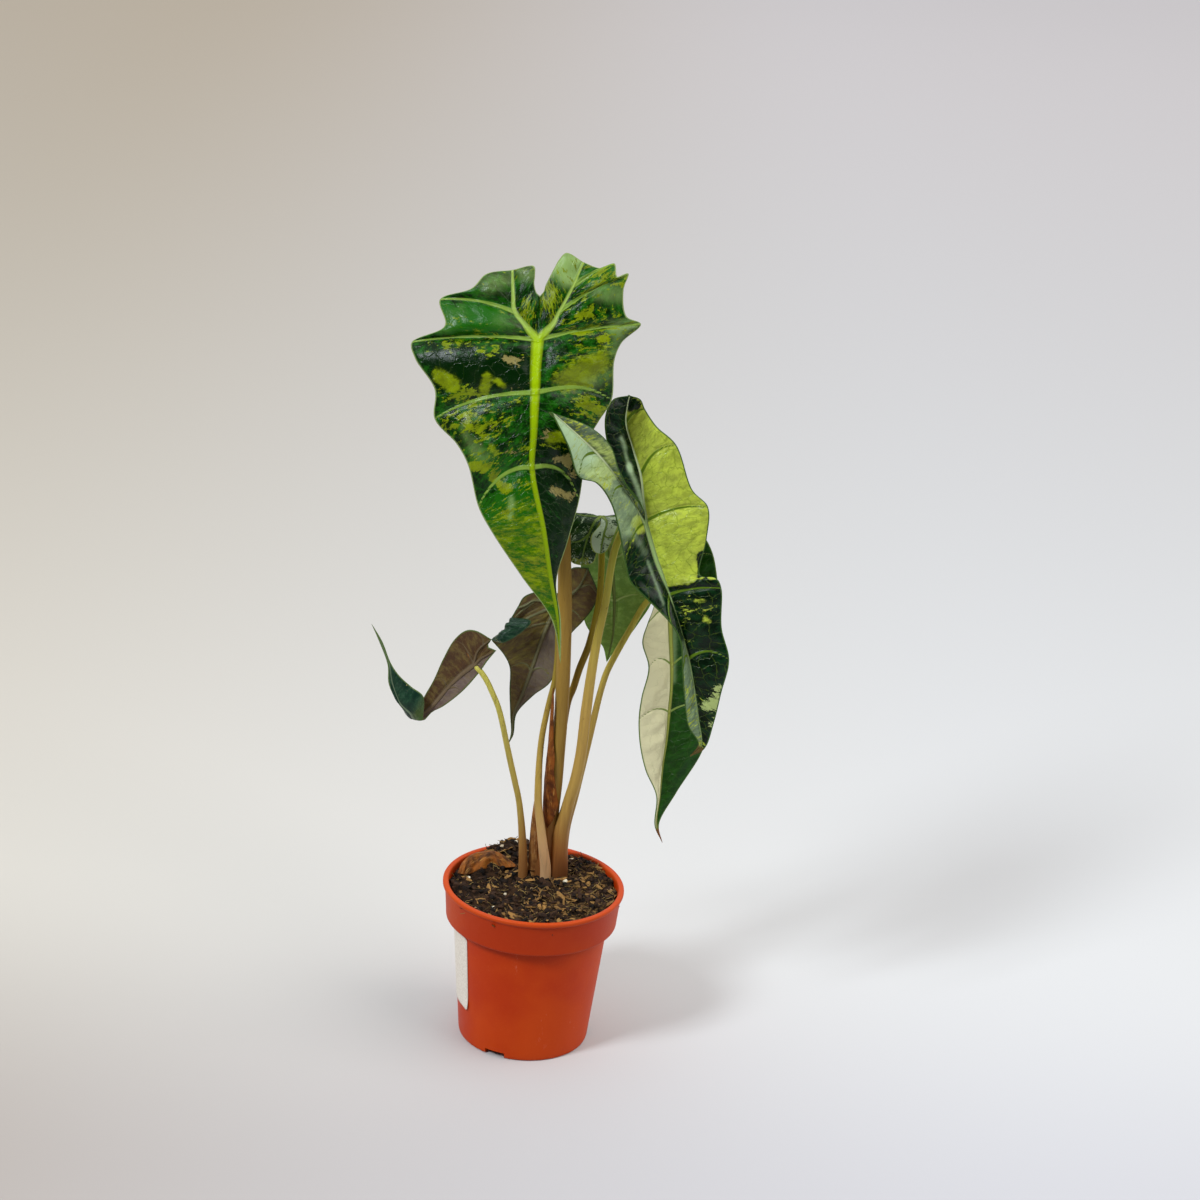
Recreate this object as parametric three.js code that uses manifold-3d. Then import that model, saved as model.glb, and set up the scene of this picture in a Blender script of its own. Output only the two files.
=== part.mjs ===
// A young potted aroid with six arrow-shaped, variegated leaves in a small plastic nursery pot.
// Millimetres, +Z up. The origin is the centre of the pot's base, and the plant's best side faces -Y.

import * as THREE from 'three';
import Module from 'manifold-3d';

const wasm = await Module();
wasm.setup();

const TURN = 2 * Math.PI;
const STEM_TOP_GAP = 0.55; // clearance where a blade rests on its stem
const HOLE_GAP = 0.4; // clearance round whatever stands in the mix

// Nursery pot
const POT_HEIGHT = 55;
const RIM_RADIUS = 30; // outside of the lip
const COLLAR_BOTTOM_RADIUS = 28.3;
const COLLAR_HEIGHT = 12; // from the lip down to the step
const BODY_TOP_RADIUS = 25.5;
const BASE_RADIUS = 21.6;
const POT_WALL = 1.1;
const LIP_BEAD = 0.8; // how far the lip stands proud of the collar
const POT_FACETS = 48;
const DRAIN_COUNT = 3;
const DRAIN_WIDTH = 7;
const DRAIN_HEIGHT = 2;
const DRAIN_FIRST_ANGLE = -1.97; // radians, the notch at the front left

// Sticker on the pot's left side
const LABEL_LOW = 13;
const LABEL_HIGH = 40;
const LABEL_THICKNESS = 0.4;
const LABEL_GAP = 0.4;
const LABEL_FROM = 3.8; // radians round the pot, its front edge
const LABEL_SWEEP = 1.25;

// Potting mix
const SOIL_GAP = 0.45; // between the mix and the pot's facets
const SOIL_LEVEL = 52.6;
const SOIL_TOP = [3, 9]; // middle of the mound, where the stems stand
const SOIL_MOUND = 3.2; // height of the mound
const SOIL_CRUMB = 0.7; // how far the crumbs stand up or sink
const SOIL_FACETS = 32;
const SOIL_RINGS = 9;

// Plant
const BLADE_THICKNESS = 0.7;
const SIDE_VEIN_DEPTH = 0.3; // share of the midrib's depth
const PANEL_BULGE = 0.08; // bulge between two side veins, as a share of the blade's half width
const VEIN_BULGE = 0.02;
const STEM_SIDES = 8;
const STEM_STEP = 7; // distance between two rings of a stem
const STEM_FOOT = 45.6; // where the stems leave the corm
const STEM_LOW = 42; // their lines run on to here, so that the cut foot is level

// Corm with its roots, inside the soil
const CORM_TOP = 45.3;
const CORM_RADIUS = 11;
const CORM_LENGTH = 24;
const CORM_CENTRE = [2.8, 9.6];
const ROOT_COUNT = 7;
const ROOT_RADIUS = 1.1;

const POT_COLOUR = 0xb4501e;
const LABEL_COLOUR = 0xd9ccba;
const SOIL_COLOUR = 0x2a1c12;
const CORM_COLOUR = 0x6b4a2c;
const STEM_COLOUR = 0x9a8a3c;
const DRY_COLOUR = 0x8c4d12;
const BASE_COLOUR = 0x8a6248;
const SCRAP_COLOUR = 0x8f6238;

const vector = (p) => new THREE.Vector3(p[0], p[1], p[2]);
const curveThrough = (points) => new THREE.CatmullRomCurve3(points.map(vector), false, 'centripetal');

// The points of a smooth line through hand-set points, with `steps` pieces between each two of them.
function samples(points, steps) {
  const curve = curveThrough(points);
  const count = (points.length - 1) * steps;
  return Array.from({ length: count + 1 }, (_, i) => curve.getPoint(i / count));
}

function geometryOf(positions, triangles) {
  const geometry = new THREE.BufferGeometry();
  geometry.setAttribute('position', new THREE.Float32BufferAttribute(positions, 3));
  geometry.setIndex(triangles);
  return geometry;
}

// Closed solids and the joins and cuts between them.
function solidOf(geometry) {
  const position = geometry.getAttribute('position');
  const seen = new Map();
  const vertProperties = [];
  const remap = [];
  for (let i = 0; i < position.count; i += 1) {
    const p = [position.getX(i), position.getY(i), position.getZ(i)];
    const key = p.map((value) => Math.round(value * 1e4)).join();
    if (!seen.has(key)) {
      seen.set(key, seen.size);
      vertProperties.push(...p);
    }
    remap.push(seen.get(key));
  }
  const order = geometry.index ? Array.from(geometry.index.array) : remap.map((_, i) => i);
  const triVerts = [];
  for (let i = 0; i < order.length; i += 3) {
    const [a, b, c] = [remap[order[i]], remap[order[i + 1]], remap[order[i + 2]]];
    if (a !== b && b !== c && c !== a) triVerts.push(a, b, c);
  }
  return new wasm.Manifold(new wasm.Mesh({
    numProp: 3,
    vertProperties: new Float32Array(vertProperties),
    triVerts: new Uint32Array(triVerts),
  }));
}

function geometryFrom(solid) {
  const mesh = solid.getMesh();
  return geometryOf(Array.from(mesh.vertProperties), Array.from(mesh.triVerts));
}

// The largest body of a solid, without the slivers that a cut leaves.
function mainBody(solid) {
  return solid.decompose().sort((a, b) => b.volume() - a.volume())[0];
}

const pieces = {};

function addPiece(name, solid, colour, roughness) {
  const mesh = new THREE.Mesh(
    geometryFrom(solid),
    new THREE.MeshStandardMaterial({ color: colour, roughness, metalness: 0 }),
  );
  mesh.name = name;
  pieces[name] = mesh;
}

// A round stalk along a line, with a radius for each of its points.
function stalk(points, radii, sides, step, grow = 0) {
  const curve = curveThrough(points);
  const rings = Math.max(2, Math.round(curve.getLength() / step));
  const frames = curve.computeFrenetFrames(rings, false);
  const widths = new THREE.CatmullRomCurve3(radii.map((r, i) => new THREE.Vector3(i, r, 0)));
  const positions = [];
  const triangles = [];
  for (let i = 0; i <= rings; i += 1) {
    const t = curve.getUtoTmapping(i / rings);
    const centre = curve.getPoint(t).addScaledVector(frames.tangents[i], grow * ((i === rings) - (i === 0)));
    const radius = widths.getPoint(t).y + grow;
    for (let j = 0; j < sides; j += 1) {
      const angle = (TURN * j) / sides;
      const p = centre.clone()
        .addScaledVector(frames.normals[i], radius * Math.cos(angle))
        .addScaledVector(frames.binormals[i], radius * Math.sin(angle));
      positions.push(p.x, p.y, p.z);
    }
  }
  for (let i = 0; i < rings; i += 1) {
    for (let j = 0; j < sides; j += 1) {
      const a = i * sides + j;
      const b = i * sides + ((j + 1) % sides);
      triangles.push(a, b, b + sides, a, b + sides, a + sides);
    }
  }
  for (const [ring, turned] of [[0, true], [rings, false]]) {
    const first = ring * sides;
    for (let j = 1; j < sides - 1; j += 1) {
      if (turned) triangles.push(first, first + j + 1, first + j);
      else triangles.push(first, first + j, first + j + 1);
    }
  }
  return solidOf(geometryOf(positions, triangles));
}

// A thin curved skin: a face of shared points that is later given its thickness.
class Skin {
  constructor() {
    this.points = [];
    this.depths = [];
    this.triangles = [];
    this.seen = new Map();
  }

  addPoint(p, depth) {
    const key = [p.x, p.y, p.z].map((value) => Math.round(value * 1e3)).join();
    if (!this.seen.has(key)) {
      this.seen.set(key, this.points.length);
      this.points.push(p);
      this.depths.push(depth);
    }
    const index = this.seen.get(key);
    this.depths[index] = Math.max(this.depths[index], depth);
    return index;
  }

  // A grid of rows; `turned` says that its rows run clockwise as seen from the upper face.
  addGrid(rows, turned) {
    const index = rows.map((row) => row.map(({ p, depth }) => this.addPoint(p, depth)));
    for (let i = 0; i + 1 < index.length; i += 1) {
      for (let j = 0; j + 1 < index[i].length; j += 1) {
        const [a, b, c, d] = [index[i][j], index[i + 1][j], index[i + 1][j + 1], index[i][j + 1]];
        this.addTriangle(a, b, c, turned);
        this.addTriangle(a, c, d, turned);
      }
    }
  }

  addTriangle(a, b, c, turned) {
    if (a === b || b === c || c === a) return;
    this.triangles.push(turned ? [a, c, b] : [a, b, c]);
  }

  // Directions out of the upper face, evened out so that the two faces of a fold stay clear.
  normals() {
    const normals = this.points.map(() => new THREE.Vector3());
    for (const [a, b, c] of this.triangles) {
      const face = this.points[b].clone().sub(this.points[a])
        .cross(this.points[c].clone().sub(this.points[a]));
      for (const i of [a, b, c]) normals[i].add(face);
    }
    normals.forEach((n) => n.normalize());
    const SMOOTHING_PASSES = 2;
    for (let pass = 0; pass < SMOOTHING_PASSES; pass += 1) {
      const sums = normals.map((n) => n.clone());
      for (const [a, b, c] of this.triangles) {
        for (const [i, j] of [[a, b], [b, c], [c, a]]) {
          sums[i].add(normals[j]);
          sums[j].add(normals[i]);
        }
      }
      sums.forEach((n, i) => normals[i].copy(n.normalize()));
    }
    return normals;
  }

  rimEdges() {
    const edges = new Map();
    for (const [a, b, c] of this.triangles) {
      for (const [i, j] of [[a, b], [b, c], [c, a]]) edges.set(`${i},${j}`, [i, j]);
    }
    return [...edges.values()].filter(([i, j]) => !edges.has(`${j},${i}`));
  }

  // Both faces and the rim as one closed solid; `grow` widens it all round for a clearance cut.
  solid(thickness, grow = 0) {
    const normals = this.normals();
    const rim = this.rimEdges();
    const outward = this.points.map(() => new THREE.Vector3());
    for (const [i, j] of rim) {
      const side = this.points[j].clone().sub(this.points[i]).cross(normals[i]).normalize();
      outward[i].add(side);
      outward[j].add(side);
    }
    const count = this.points.length;
    const positions = [];
    for (const upper of [true, false]) {
      this.points.forEach((p, i) => {
        const lift = upper ? thickness / 2 + grow : -thickness / 2 - this.depths[i] - grow;
        const q = p.clone().addScaledVector(normals[i], lift);
        if (grow > 0 && outward[i].lengthSq() > 0) q.addScaledVector(outward[i].normalize(), grow);
        positions.push(q.x, q.y, q.z);
      });
    }
    const triangles = [];
    for (const [a, b, c] of this.triangles) {
      triangles.push(a, b, c, a + count, c + count, b + count);
    }
    for (const [a, b] of rim) triangles.push(b, a, a + count, b, a + count, b + count);
    return solidOf(geometryOf(positions, triangles));
  }
}

// Where the columns of a half blade lie between its rib (0) and its edge (1).
const OUTER_COLUMNS = [0, 0.08, 0.28, 0.52, 0.77, 1];
const INNER_COLUMNS = [0, 0.2, 0.6, 1];
const ROLL_COLUMNS = [0, 0.3, 0.55, 0.78, 1];
const ROW_STEPS = 2;
const WIDE_ENOUGH = 14; // half width at which the columns crowd fully towards the rib

// The two kinds of row: along a side vein, and through the panel between two of them.
const VEIN = { vein: 1, bulge: VEIN_BULGE };
const BAY = { vein: 0, bulge: PANEL_BULGE };

// One half of a blade between a rib and an edge. `kinds` holds, for each of their points, how far
// the panel bulges towards the upper face and how deep the rib and the side vein stand out below.
function halfBlade(ribParts, edgePoints, kinds, columns, side) {
  const rib = [];
  for (const part of ribParts) rib.push(...samples(part, ROW_STEPS).slice(rib.length ? 1 : 0));
  const edge = samples(edgePoints, ROW_STEPS);
  return rib.map((root, i) => {
    const end = edge[i];
    const at = Math.floor(i / ROW_STEPS);
    const share = i / ROW_STEPS - at;
    const before = kinds[at];
    const after = kinds[Math.min(kinds.length - 1, at + 1)];
    const blend = (key) => THREE.MathUtils.lerp(before[key], after[key], share);
    const across = end.clone().sub(root);
    const width = across.length();
    const along = rib[Math.min(i + 1, rib.length - 1)].clone().sub(rib[Math.max(i - 1, 0)]);
    const up = along.cross(across).multiplyScalar(side);
    if (up.lengthSq() > 0) up.normalize();
    const crowd = Math.min(1, width / WIDE_ENOUGH);
    return columns.map((column, j) => {
      const v = THREE.MathUtils.lerp(j / (columns.length - 1), column, crowd);
      const p = root.clone().lerp(end, v).addScaledVector(up, blend('bulge') * width * 4 * v * (1 - v));
      const ribFade = Math.max(0, 1 - v * columns.length);
      const veinDepth = SIDE_VEIN_DEPTH * blend('vein') * (1 - v);
      return { p, depth: blend('rib') * Math.max(ribFade, veinDepth) };
    });
  });
}

// A strip of the edge that is rolled over towards the face on the other side. It starts at the
// edge's point `from`, and its rows are [point the roll bends round, free edge].
function rolledStrip(edgePoints, { from, rows }) {
  const to = from + rows.length + 1;
  const hem = samples(edgePoints, ROW_STEPS).slice(from * ROW_STEPS, to * ROW_STEPS + 1);
  const closed = (column) => [edgePoints[from], ...rows.map((row) => row[column]), edgePoints[to]];
  const bend = samples(closed(0), ROW_STEPS);
  const free = samples(closed(1), ROW_STEPS);
  return hem.map((start, i) => {
    const across = new THREE.QuadraticBezierCurve3(start, bend[i], free[i]);
    return ROLL_COLUMNS.map((v) => ({ p: across.getPoint(v), depth: 0 }));
  });
}

// A whole blade. `body` holds rows [midrib, left edge, right edge] from the tip to the stem's
// joint, `left` and `right` hold rows [rib, outer edge, inner edge] up each back lobe, and
// `notch` is the bottom of the notch between the lobes. Left and right are as seen from the front
// (-Y); `mirrored` says that the blade shows its underside there.
function bladeSkin({ ribDepth, tip, body, left, right, notch, mirrored }) {
  const skin = new Skin();
  const node = body[body.length - 1][0];
  const midrib = [tip, ...body.map((row) => row[0])];
  const flat = { vein: 0, bulge: 0, rib: 0 };
  const bodyKinds = body.map((row, i) => ({ ...row[3], rib: ribDepth * (0.3 + (0.7 * i) / body.length) }));
  for (const [lobe, column, side] of [[left, 1, 1], [right, 2, -1]]) {
    const rows = lobe.rows;
    const costa = [node, ...rows.map((row) => row[0]), lobe.tip];
    const outer = [tip, ...body.map((row) => row[column]), ...rows.map((row) => row[1]), lobe.tip];
    const inner = [notch, ...rows.map((row) => row[2]), lobe.tip];
    const fade = (i) => 0.8 * ribDepth * (1 - (i + 1) / (rows.length + 1));
    const lobeKinds = rows.map((row, i) => ({ ...row[3], rib: fade(i) }));
    const innerKinds = rows.map((row, i) => ({ ...BAY, rib: fade(i) }));
    const outerKinds = [flat, ...bodyKinds, ...lobeKinds, flat];
    const facing = mirrored ? -side : side;
    const turned = facing < 0;
    skin.addGrid(halfBlade([midrib, costa], outer, outerKinds, OUTER_COLUMNS, facing), turned);
    skin.addGrid(halfBlade([costa], inner, [flat, ...innerKinds, flat], INNER_COLUMNS, -facing), !turned);
    if (lobe.roll) skin.addGrid(rolledStrip(outer, lobe.roll), turned);
  }
  return skin;
}

// Blade 1: the large front leaf, hung on the thickest stem with its upper face to the front.
const BLADE_1 = {
  colour: 0x2f5a12,
  ribDepth: 1.2,
  tip: [3.5, -25, 144],
  body: [
    [[1.5, -25, 158.5], [-0.5, -25.5, 159], [2.5, -25, 158.5], BAY],
    [[-1.5, -24, 171], [-10.5, -24, 171.5], [0, -22, 170], BAY],
    [[-5, -22.5, 187], [-20.5, -21.5, 184], [2.5, -18, 182], BAY],
    [[-10, -19, 205.5], [-25.6, -18, 191], [5, -13, 194], VEIN],
    [[-10.5, -16, 216.5], [-29.8, -16.6, 204], [6.5, -8, 212.5], BAY],
    [[-10.8, -14.3, 222], [-33.8, -14.2, 209.6], [9.2, -6, 218.3], BAY],
    [[-11, -12.5, 227.5], [-41.2, -11, 216], [12.5, -4, 224.5], VEIN],
    [[-11.4, -9.6, 233.6], [-41.8, -9.8, 225], [12.4, -3.5, 237.4], BAY],
    [[-11.5, -7, 238.6], [-48.6, -6, 233.2], [14.2, -1.2, 242.4], BAY],
    [[-11.5, -5, 242], [-50.2, -2.3, 237.2], [19.6, 2, 247.8], VEIN],
  ],
  left: {
    rows: [
      [[-15.5, -3, 245.5], [-40.3, -3.8, 243.8], [-13.2, 0.5, 255.5], BAY],
      [[-19, -1, 249], [-42.6, 2, 250.3], [-14, 1, 258], VEIN],
      [[-20, 1, 253.5], [-33, 1, 255], [-14, 2, 260.5], BAY],
      [[-20.5, 2.5, 257], [-29, 4, 259], [-14.5, 3, 263], BAY],
    ],
    tip: [-21, 4, 261],
  },
  right: {
    rows: [
      [[-7.5, -3, 246.5], [14.9, 0.6, 250.4], [-10.8, 1, 256], BAY],
      [[-6.5, -2, 248.5], [13.4, 2, 258.3], [-10.5, 1.2, 257.6], BAY],
      [[-5.5, -1, 250.5], [14.5, 4, 262.9], [-10, 1.5, 259], VEIN],
      [[-3.5, 1, 254.5], [11.2, 2.2, 262.1], [-8.5, 2.5, 262.5], BAY],
      [[-2, 2, 258], [10, 5, 265.4], [-7, 4, 265.5], VEIN],
      [[-1, 3.5, 261], [6, 4.8, 263.6], [-5, 5, 267.5], BAY],
    ],
    tip: [0.5, 5, 265],
  },
  notch: [-12, 1, 254.3],
};

// Blade 2: the front right leaf, folded along its midrib, its left lobe reaching across blade 1.
const BLADE_2 = {
  colour: 0x6d8a1e,
  ribDepth: 1,
  tip: [47, -9, 109],
  body: [
    [[50.3, -11, 114], [49.2, -11.3, 114.8], [51.4, -11.3, 113.3], BAY],
    [[48.5, -10, 123], [45.5, -11.5, 120.5], [53.5, -11, 122], BAY],
    [[45.5, -8.5, 135.5], [43.5, -11.5, 130], [55, -10, 132.5], BAY],
    [[43.5, -7.5, 142], [42, -11, 139.5], [56.5, -9, 143.5], VEIN],
    [[40.5, -6, 150], [40.5, -10.5, 149], [53.2, -7, 153.5], BAY],
    [[35.5, -3, 161.5], [37, -10, 154.5], [52, -5, 166], VEIN],
    [[34.3, -2.3, 164.2], [32.8, -9.1, 158.2], [50.2, -4.4, 168.9], BAY],
    [[33, -1.5, 167], [28, -8, 162], [45, -2.4, 168.8], BAY],
    [[30.5, 0, 172], [23, -7, 166.5], [46, 0, 180], BAY],
    [[26, 3, 183], [21, -6, 172.5], [45.6, 2, 190.2], VEIN],
  ],
  left: {
    rows: [
      [[22.5, 0, 190], [18, -8, 184], [23, -2, 192.3], BAY],
      [[18.5, -3, 196.5], [15, -10, 193], [20, -4.5, 196.6], VEIN],
      [[14, -7, 203], [10, -14, 200.5], [16.5, -7, 203.6], BAY],
      [[9, -11, 209.5], [4.5, -17, 203], [13.5, -8.5, 211], VEIN],
      [[2, -16, 217], [0.5, -20, 213.5], [7, -13, 218], BAY],
    ],
    tip: [-5.5, -21, 224.5],
  },
  right: {
    rows: [
      [[25, 4.5, 189.5], [40.2, 3.5, 195], [23.4, 2.2, 190.6], BAY],
      [[23.5, 6, 197.5], [33.9, 5.2, 208.8], [18.2, 1.4, 196.8], VEIN],
      [[20.5, 7, 205.5], [27.2, 6.6, 214], [12.8, 0.8, 207.3], BAY],
      [[17.5, 8, 213.5], [23.2, 8, 218.8], [11, 3, 216.5], VEIN],
      [[17.5, 8.8, 218.5], [21.5, 9, 221.5], [13, 6.5, 221.5], BAY],
    ],
    tip: [18, 9, 222.5],
  },
  notch: [25.6, 0.8, 187.5],
};

// Blade 3: the narrow leaf that hangs straight down at the lower right.
const BLADE_3 = {
  colour: 0x1f4a14,
  ribDepth: 0.9,
  tip: [41.2, 2, 72.4],
  body: [
    [[38.9, 3, 78], [38.2, 3, 77.8], [39.5, 3, 78.4], BAY],
    [[39, 4, 88], [37.7, 3.5, 88.5], [44, 3, 90], BAY],
    [[39, 5, 98.5], [33.5, 3, 97.5], [51, 3, 105], BAY],
    [[39.5, 6, 108], [31, 3, 106], [52.5, 3, 112], BAY],
    [[39.5, 7, 117], [29.8, 3.5, 115], [53.5, 4, 120.5], VEIN],
    [[39.5, 8, 125], [30.1, 4.5, 122.5], [54, 5, 130], BAY],
    [[39, 9, 132.5], [31.5, 6, 132.5], [53.5, 7, 140], VEIN],
    [[37.8, 10.3, 142], [28.8, 7.5, 140.5], [52.5, 8.5, 148], BAY],
    [[36.8, 11.5, 150.5], [30, 9, 146.5], [52.3, 9.3, 155.5], VEIN],
  ],
  left: {
    rows: [
      [[35, 14, 157], [31.6, 11, 152], [35.3, 15, 161], BAY],
      [[33.8, 17, 163], [31.8, 14.5, 158.5], [34.8, 17.5, 166], VEIN],
      [[33, 20, 167.5], [31.8, 17.5, 164.5], [33.8, 20.5, 169.5], BAY],
    ],
    tip: [32.6, 22, 171.5],
  },
  right: {
    rows: [
      [[38.5, 12.5, 158.5], [51, 10.3, 163.5], [36.2, 13.5, 161], BAY],
      [[40.3, 13.2, 166], [49, 11.3, 171], [37.5, 14, 168], VEIN],
      [[41.8, 13.7, 172], [46, 12.5, 176], [39.8, 14, 174], BAY],
    ],
    tip: [42.5, 14, 178.5],
  },
  notch: [35.8, 13.2, 157.5],
};

// Blade 4: the leaf behind the stems. Its tip hangs behind the joint and its two back lobes
// fold over it to the front, so that they show the upper face.
const BLADE_4 = {
  colour: 0x49652a,
  ribDepth: 0.5,
  mirrored: true,
  tip: [18, 26, 125],
  body: [
    [[18.8, 25.5, 130], [16.3, 25.5, 130.5], [20.6, 25.3, 129.8], BAY],
    [[19.3, 25, 135], [13.3, 24.5, 134], [24, 24.5, 134.5], BAY],
    [[19.2, 24.5, 141], [10.3, 23, 138.5], [27.5, 23.5, 141], BAY],
    [[18.8, 24, 147.5], [8.5, 22, 145], [31, 22.5, 149], VEIN],
    [[17.8, 23.5, 155], [8, 21, 154], [31, 21.5, 157], BAY],
    [[16.7, 22.8, 161.5], [6.5, 20, 163], [30, 20.5, 165.5], VEIN],
    [[14.8, 20.5, 171.5], [5, 17, 173.5], [25.5, 18, 174.5], BAY],
    [[12.5, 15, 179.4], [3.3, 13, 180.5], [20, 14, 181], VEIN],
  ],
  left: {
    rows: [
      [[10.3, 12, 178.5], [2.6, 11, 177.5], [11.2, 11.2, 176.8], BAY],
      [[8.8, 10.2, 174.8], [2.4, 9.7, 172.5], [12, 9.5, 173], VEIN],
      [[7.7, 9.3, 170], [2.8, 9.2, 168], [11.9, 8.8, 169], BAY],
      [[7.4, 8.9, 166.8], [4.2, 8.9, 165.4], [11, 8.6, 166], BAY],
    ],
    tip: [7.5, 8.8, 164.6],
  },
  right: {
    rows: [
      [[14.2, 11.2, 178.9], [18.3, 10.8, 179.2], [12, 9.9, 178], BAY],
      [[13.6, 8.1, 176], [17.2, 8.4, 176.2], [9.6, 7.3, 175.4], VEIN],
      [[13.2, 7.3, 172.8], [15.9, 7.6, 172.8], [9.8, 6.9, 172.3], BAY],
      [[13.1, 7.1, 171], [14.8, 7.3, 170.6], [11, 6.9, 170.3], BAY],
    ],
    tip: [13, 7, 169.7],
  },
  notch: [12.3, 12, 178.7],
};

// Blade 5: the brown-purple leaf at the left of the stems, underside to the front.
const BLADE_5 = {
  colour: 0x5a4a26,
  ribDepth: 0.7,
  mirrored: true,
  tip: [-12.5, 17, 96],
  body: [
    [[-11.2, 17, 100], [-11.6, 17, 100.2], [-10.8, 17, 99.8], BAY],
    [[-11.1, 16.8, 107.5], [-12.2, 16.6, 107.3], [-10.2, 16.6, 107.8], BAY],
    [[-9.2, 16.6, 113.5], [-13, 16, 116], [-5.2, 16, 115], BAY],
    [[-6.5, 16.2, 123.5], [-13.5, 15.5, 124.5], [0, 15, 120.5], VEIN],
    [[-4, 15.8, 134.5], [-15.5, 14.5, 129], [2.8, 15, 129], BAY],
    [[-2, 15.5, 141.5], [-18.5, 12.8, 133.2], [5.5, 15, 138], VEIN],
    [[0, 15, 147.5], [-19.8, 12, 135.2], [9, 14.5, 143], VEIN],
  ],
  left: {
    rows: [
      [[-3.5, 14.6, 149], [-17.6, 12, 137], [-2, 15.1, 152], BAY],
      [[-7, 14.2, 149.2], [-15.4, 12.3, 139.9], [-5.5, 14.9, 152.2], VEIN],
      [[-10, 13.8, 147.5], [-13.9, 12.7, 143.2], [-10.4, 14.2, 150.2], BAY],
    ],
    tip: [-12.3, 13.4, 146.6],
    roll: {
      from: 7,
      rows: [
        [[-18.6, 10, 137.4], [-15.5, 8.8, 135.9]],
        [[-16.6, 9.8, 141.2], [-7.4, 9, 143.8]],
      ],
    },
  },
  right: {
    rows: [
      [[4, 15, 151.5], [12, 14.2, 148], [2.5, 15.5, 156], BAY],
      [[7, 14.5, 155], [13.3, 14, 153], [4.2, 15, 161], VEIN],
    ],
    tip: [9.5, 14, 162],
  },
  notch: [0.8, 15.2, 152],
};

// Blade 6: the small purple leaf at the far left. It folds up at the front, shows its green
// upper face past the fold and runs out in a long thread.
const BLADE_6 = {
  colour: 0x4c3340,
  ribDepth: 0.4,
  mirrored: true,
  tip: [-58.5, 5, 140],
  body: [
    [[-55.2, 4.3, 134.5], [-55.6, 4.3, 134.3], [-54.8, 4.3, 134.7], BAY],
    [[-52, 3.5, 127.3], [-52.5, 3.4, 127], [-51.5, 3.5, 127.6], BAY],
    [[-50.5, 2.7, 121], [-51.8, 2.6, 121], [-48.8, 3, 124], BAY],
    [[-47.8, 2, 114.6], [-50, 2.3, 117.2], [-44.5, 3, 120.2], BAY],
    [[-44, 2.2, 111], [-46.8, 3, 112.2], [-40.5, 2.6, 117.5], BAY],
    [[-42.5, 4.5, 108.2], [-44.9, 5, 109], [-39.8, 4.8, 108.2], BAY],
    [[-40, 6.3, 109.6], [-42.4, 7, 111], [-37.5, 6.2, 110.4], BAY],
    [[-37, 6, 113.2], [-39.7, 6.8, 116.8], [-34.3, 5, 113], BAY],
    [[-33, 5, 119.5], [-37.5, 5.8, 122], [-28.5, 2.5, 119.5], VEIN],
    [[-29, 3.7, 125], [-35, 4.8, 129.5], [-25.5, 1.5, 123.7], BAY],
    [[-24.6, 2, 130], [-31.5, 3.8, 137.5], [-22.2, 0.6, 129], VEIN],
  ],
  left: {
    rows: [
      [[-23.8, 1.8, 134.5], [-28, 3, 141.2], [-20.5, 0.9, 137.9], BAY],
      [[-22, 1.4, 137.5], [-24.8, 2, 141.8], [-20.1, 0.8, 138.8], VEIN],
    ],
    tip: [-19.6, 0.8, 139.8],
  },
  right: {
    rows: [
      [[-22.2, 1, 133], [-20.3, 0, 132.7], [-19.4, 0.4, 136.8], BAY],
    ],
    tip: [-17.8, -0.2, 136.5],
  },
  notch: [-20.3, 0.8, 137],
};

const BLADES = [BLADE_1, BLADE_2, BLADE_3, BLADE_4, BLADE_5, BLADE_6];

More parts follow.
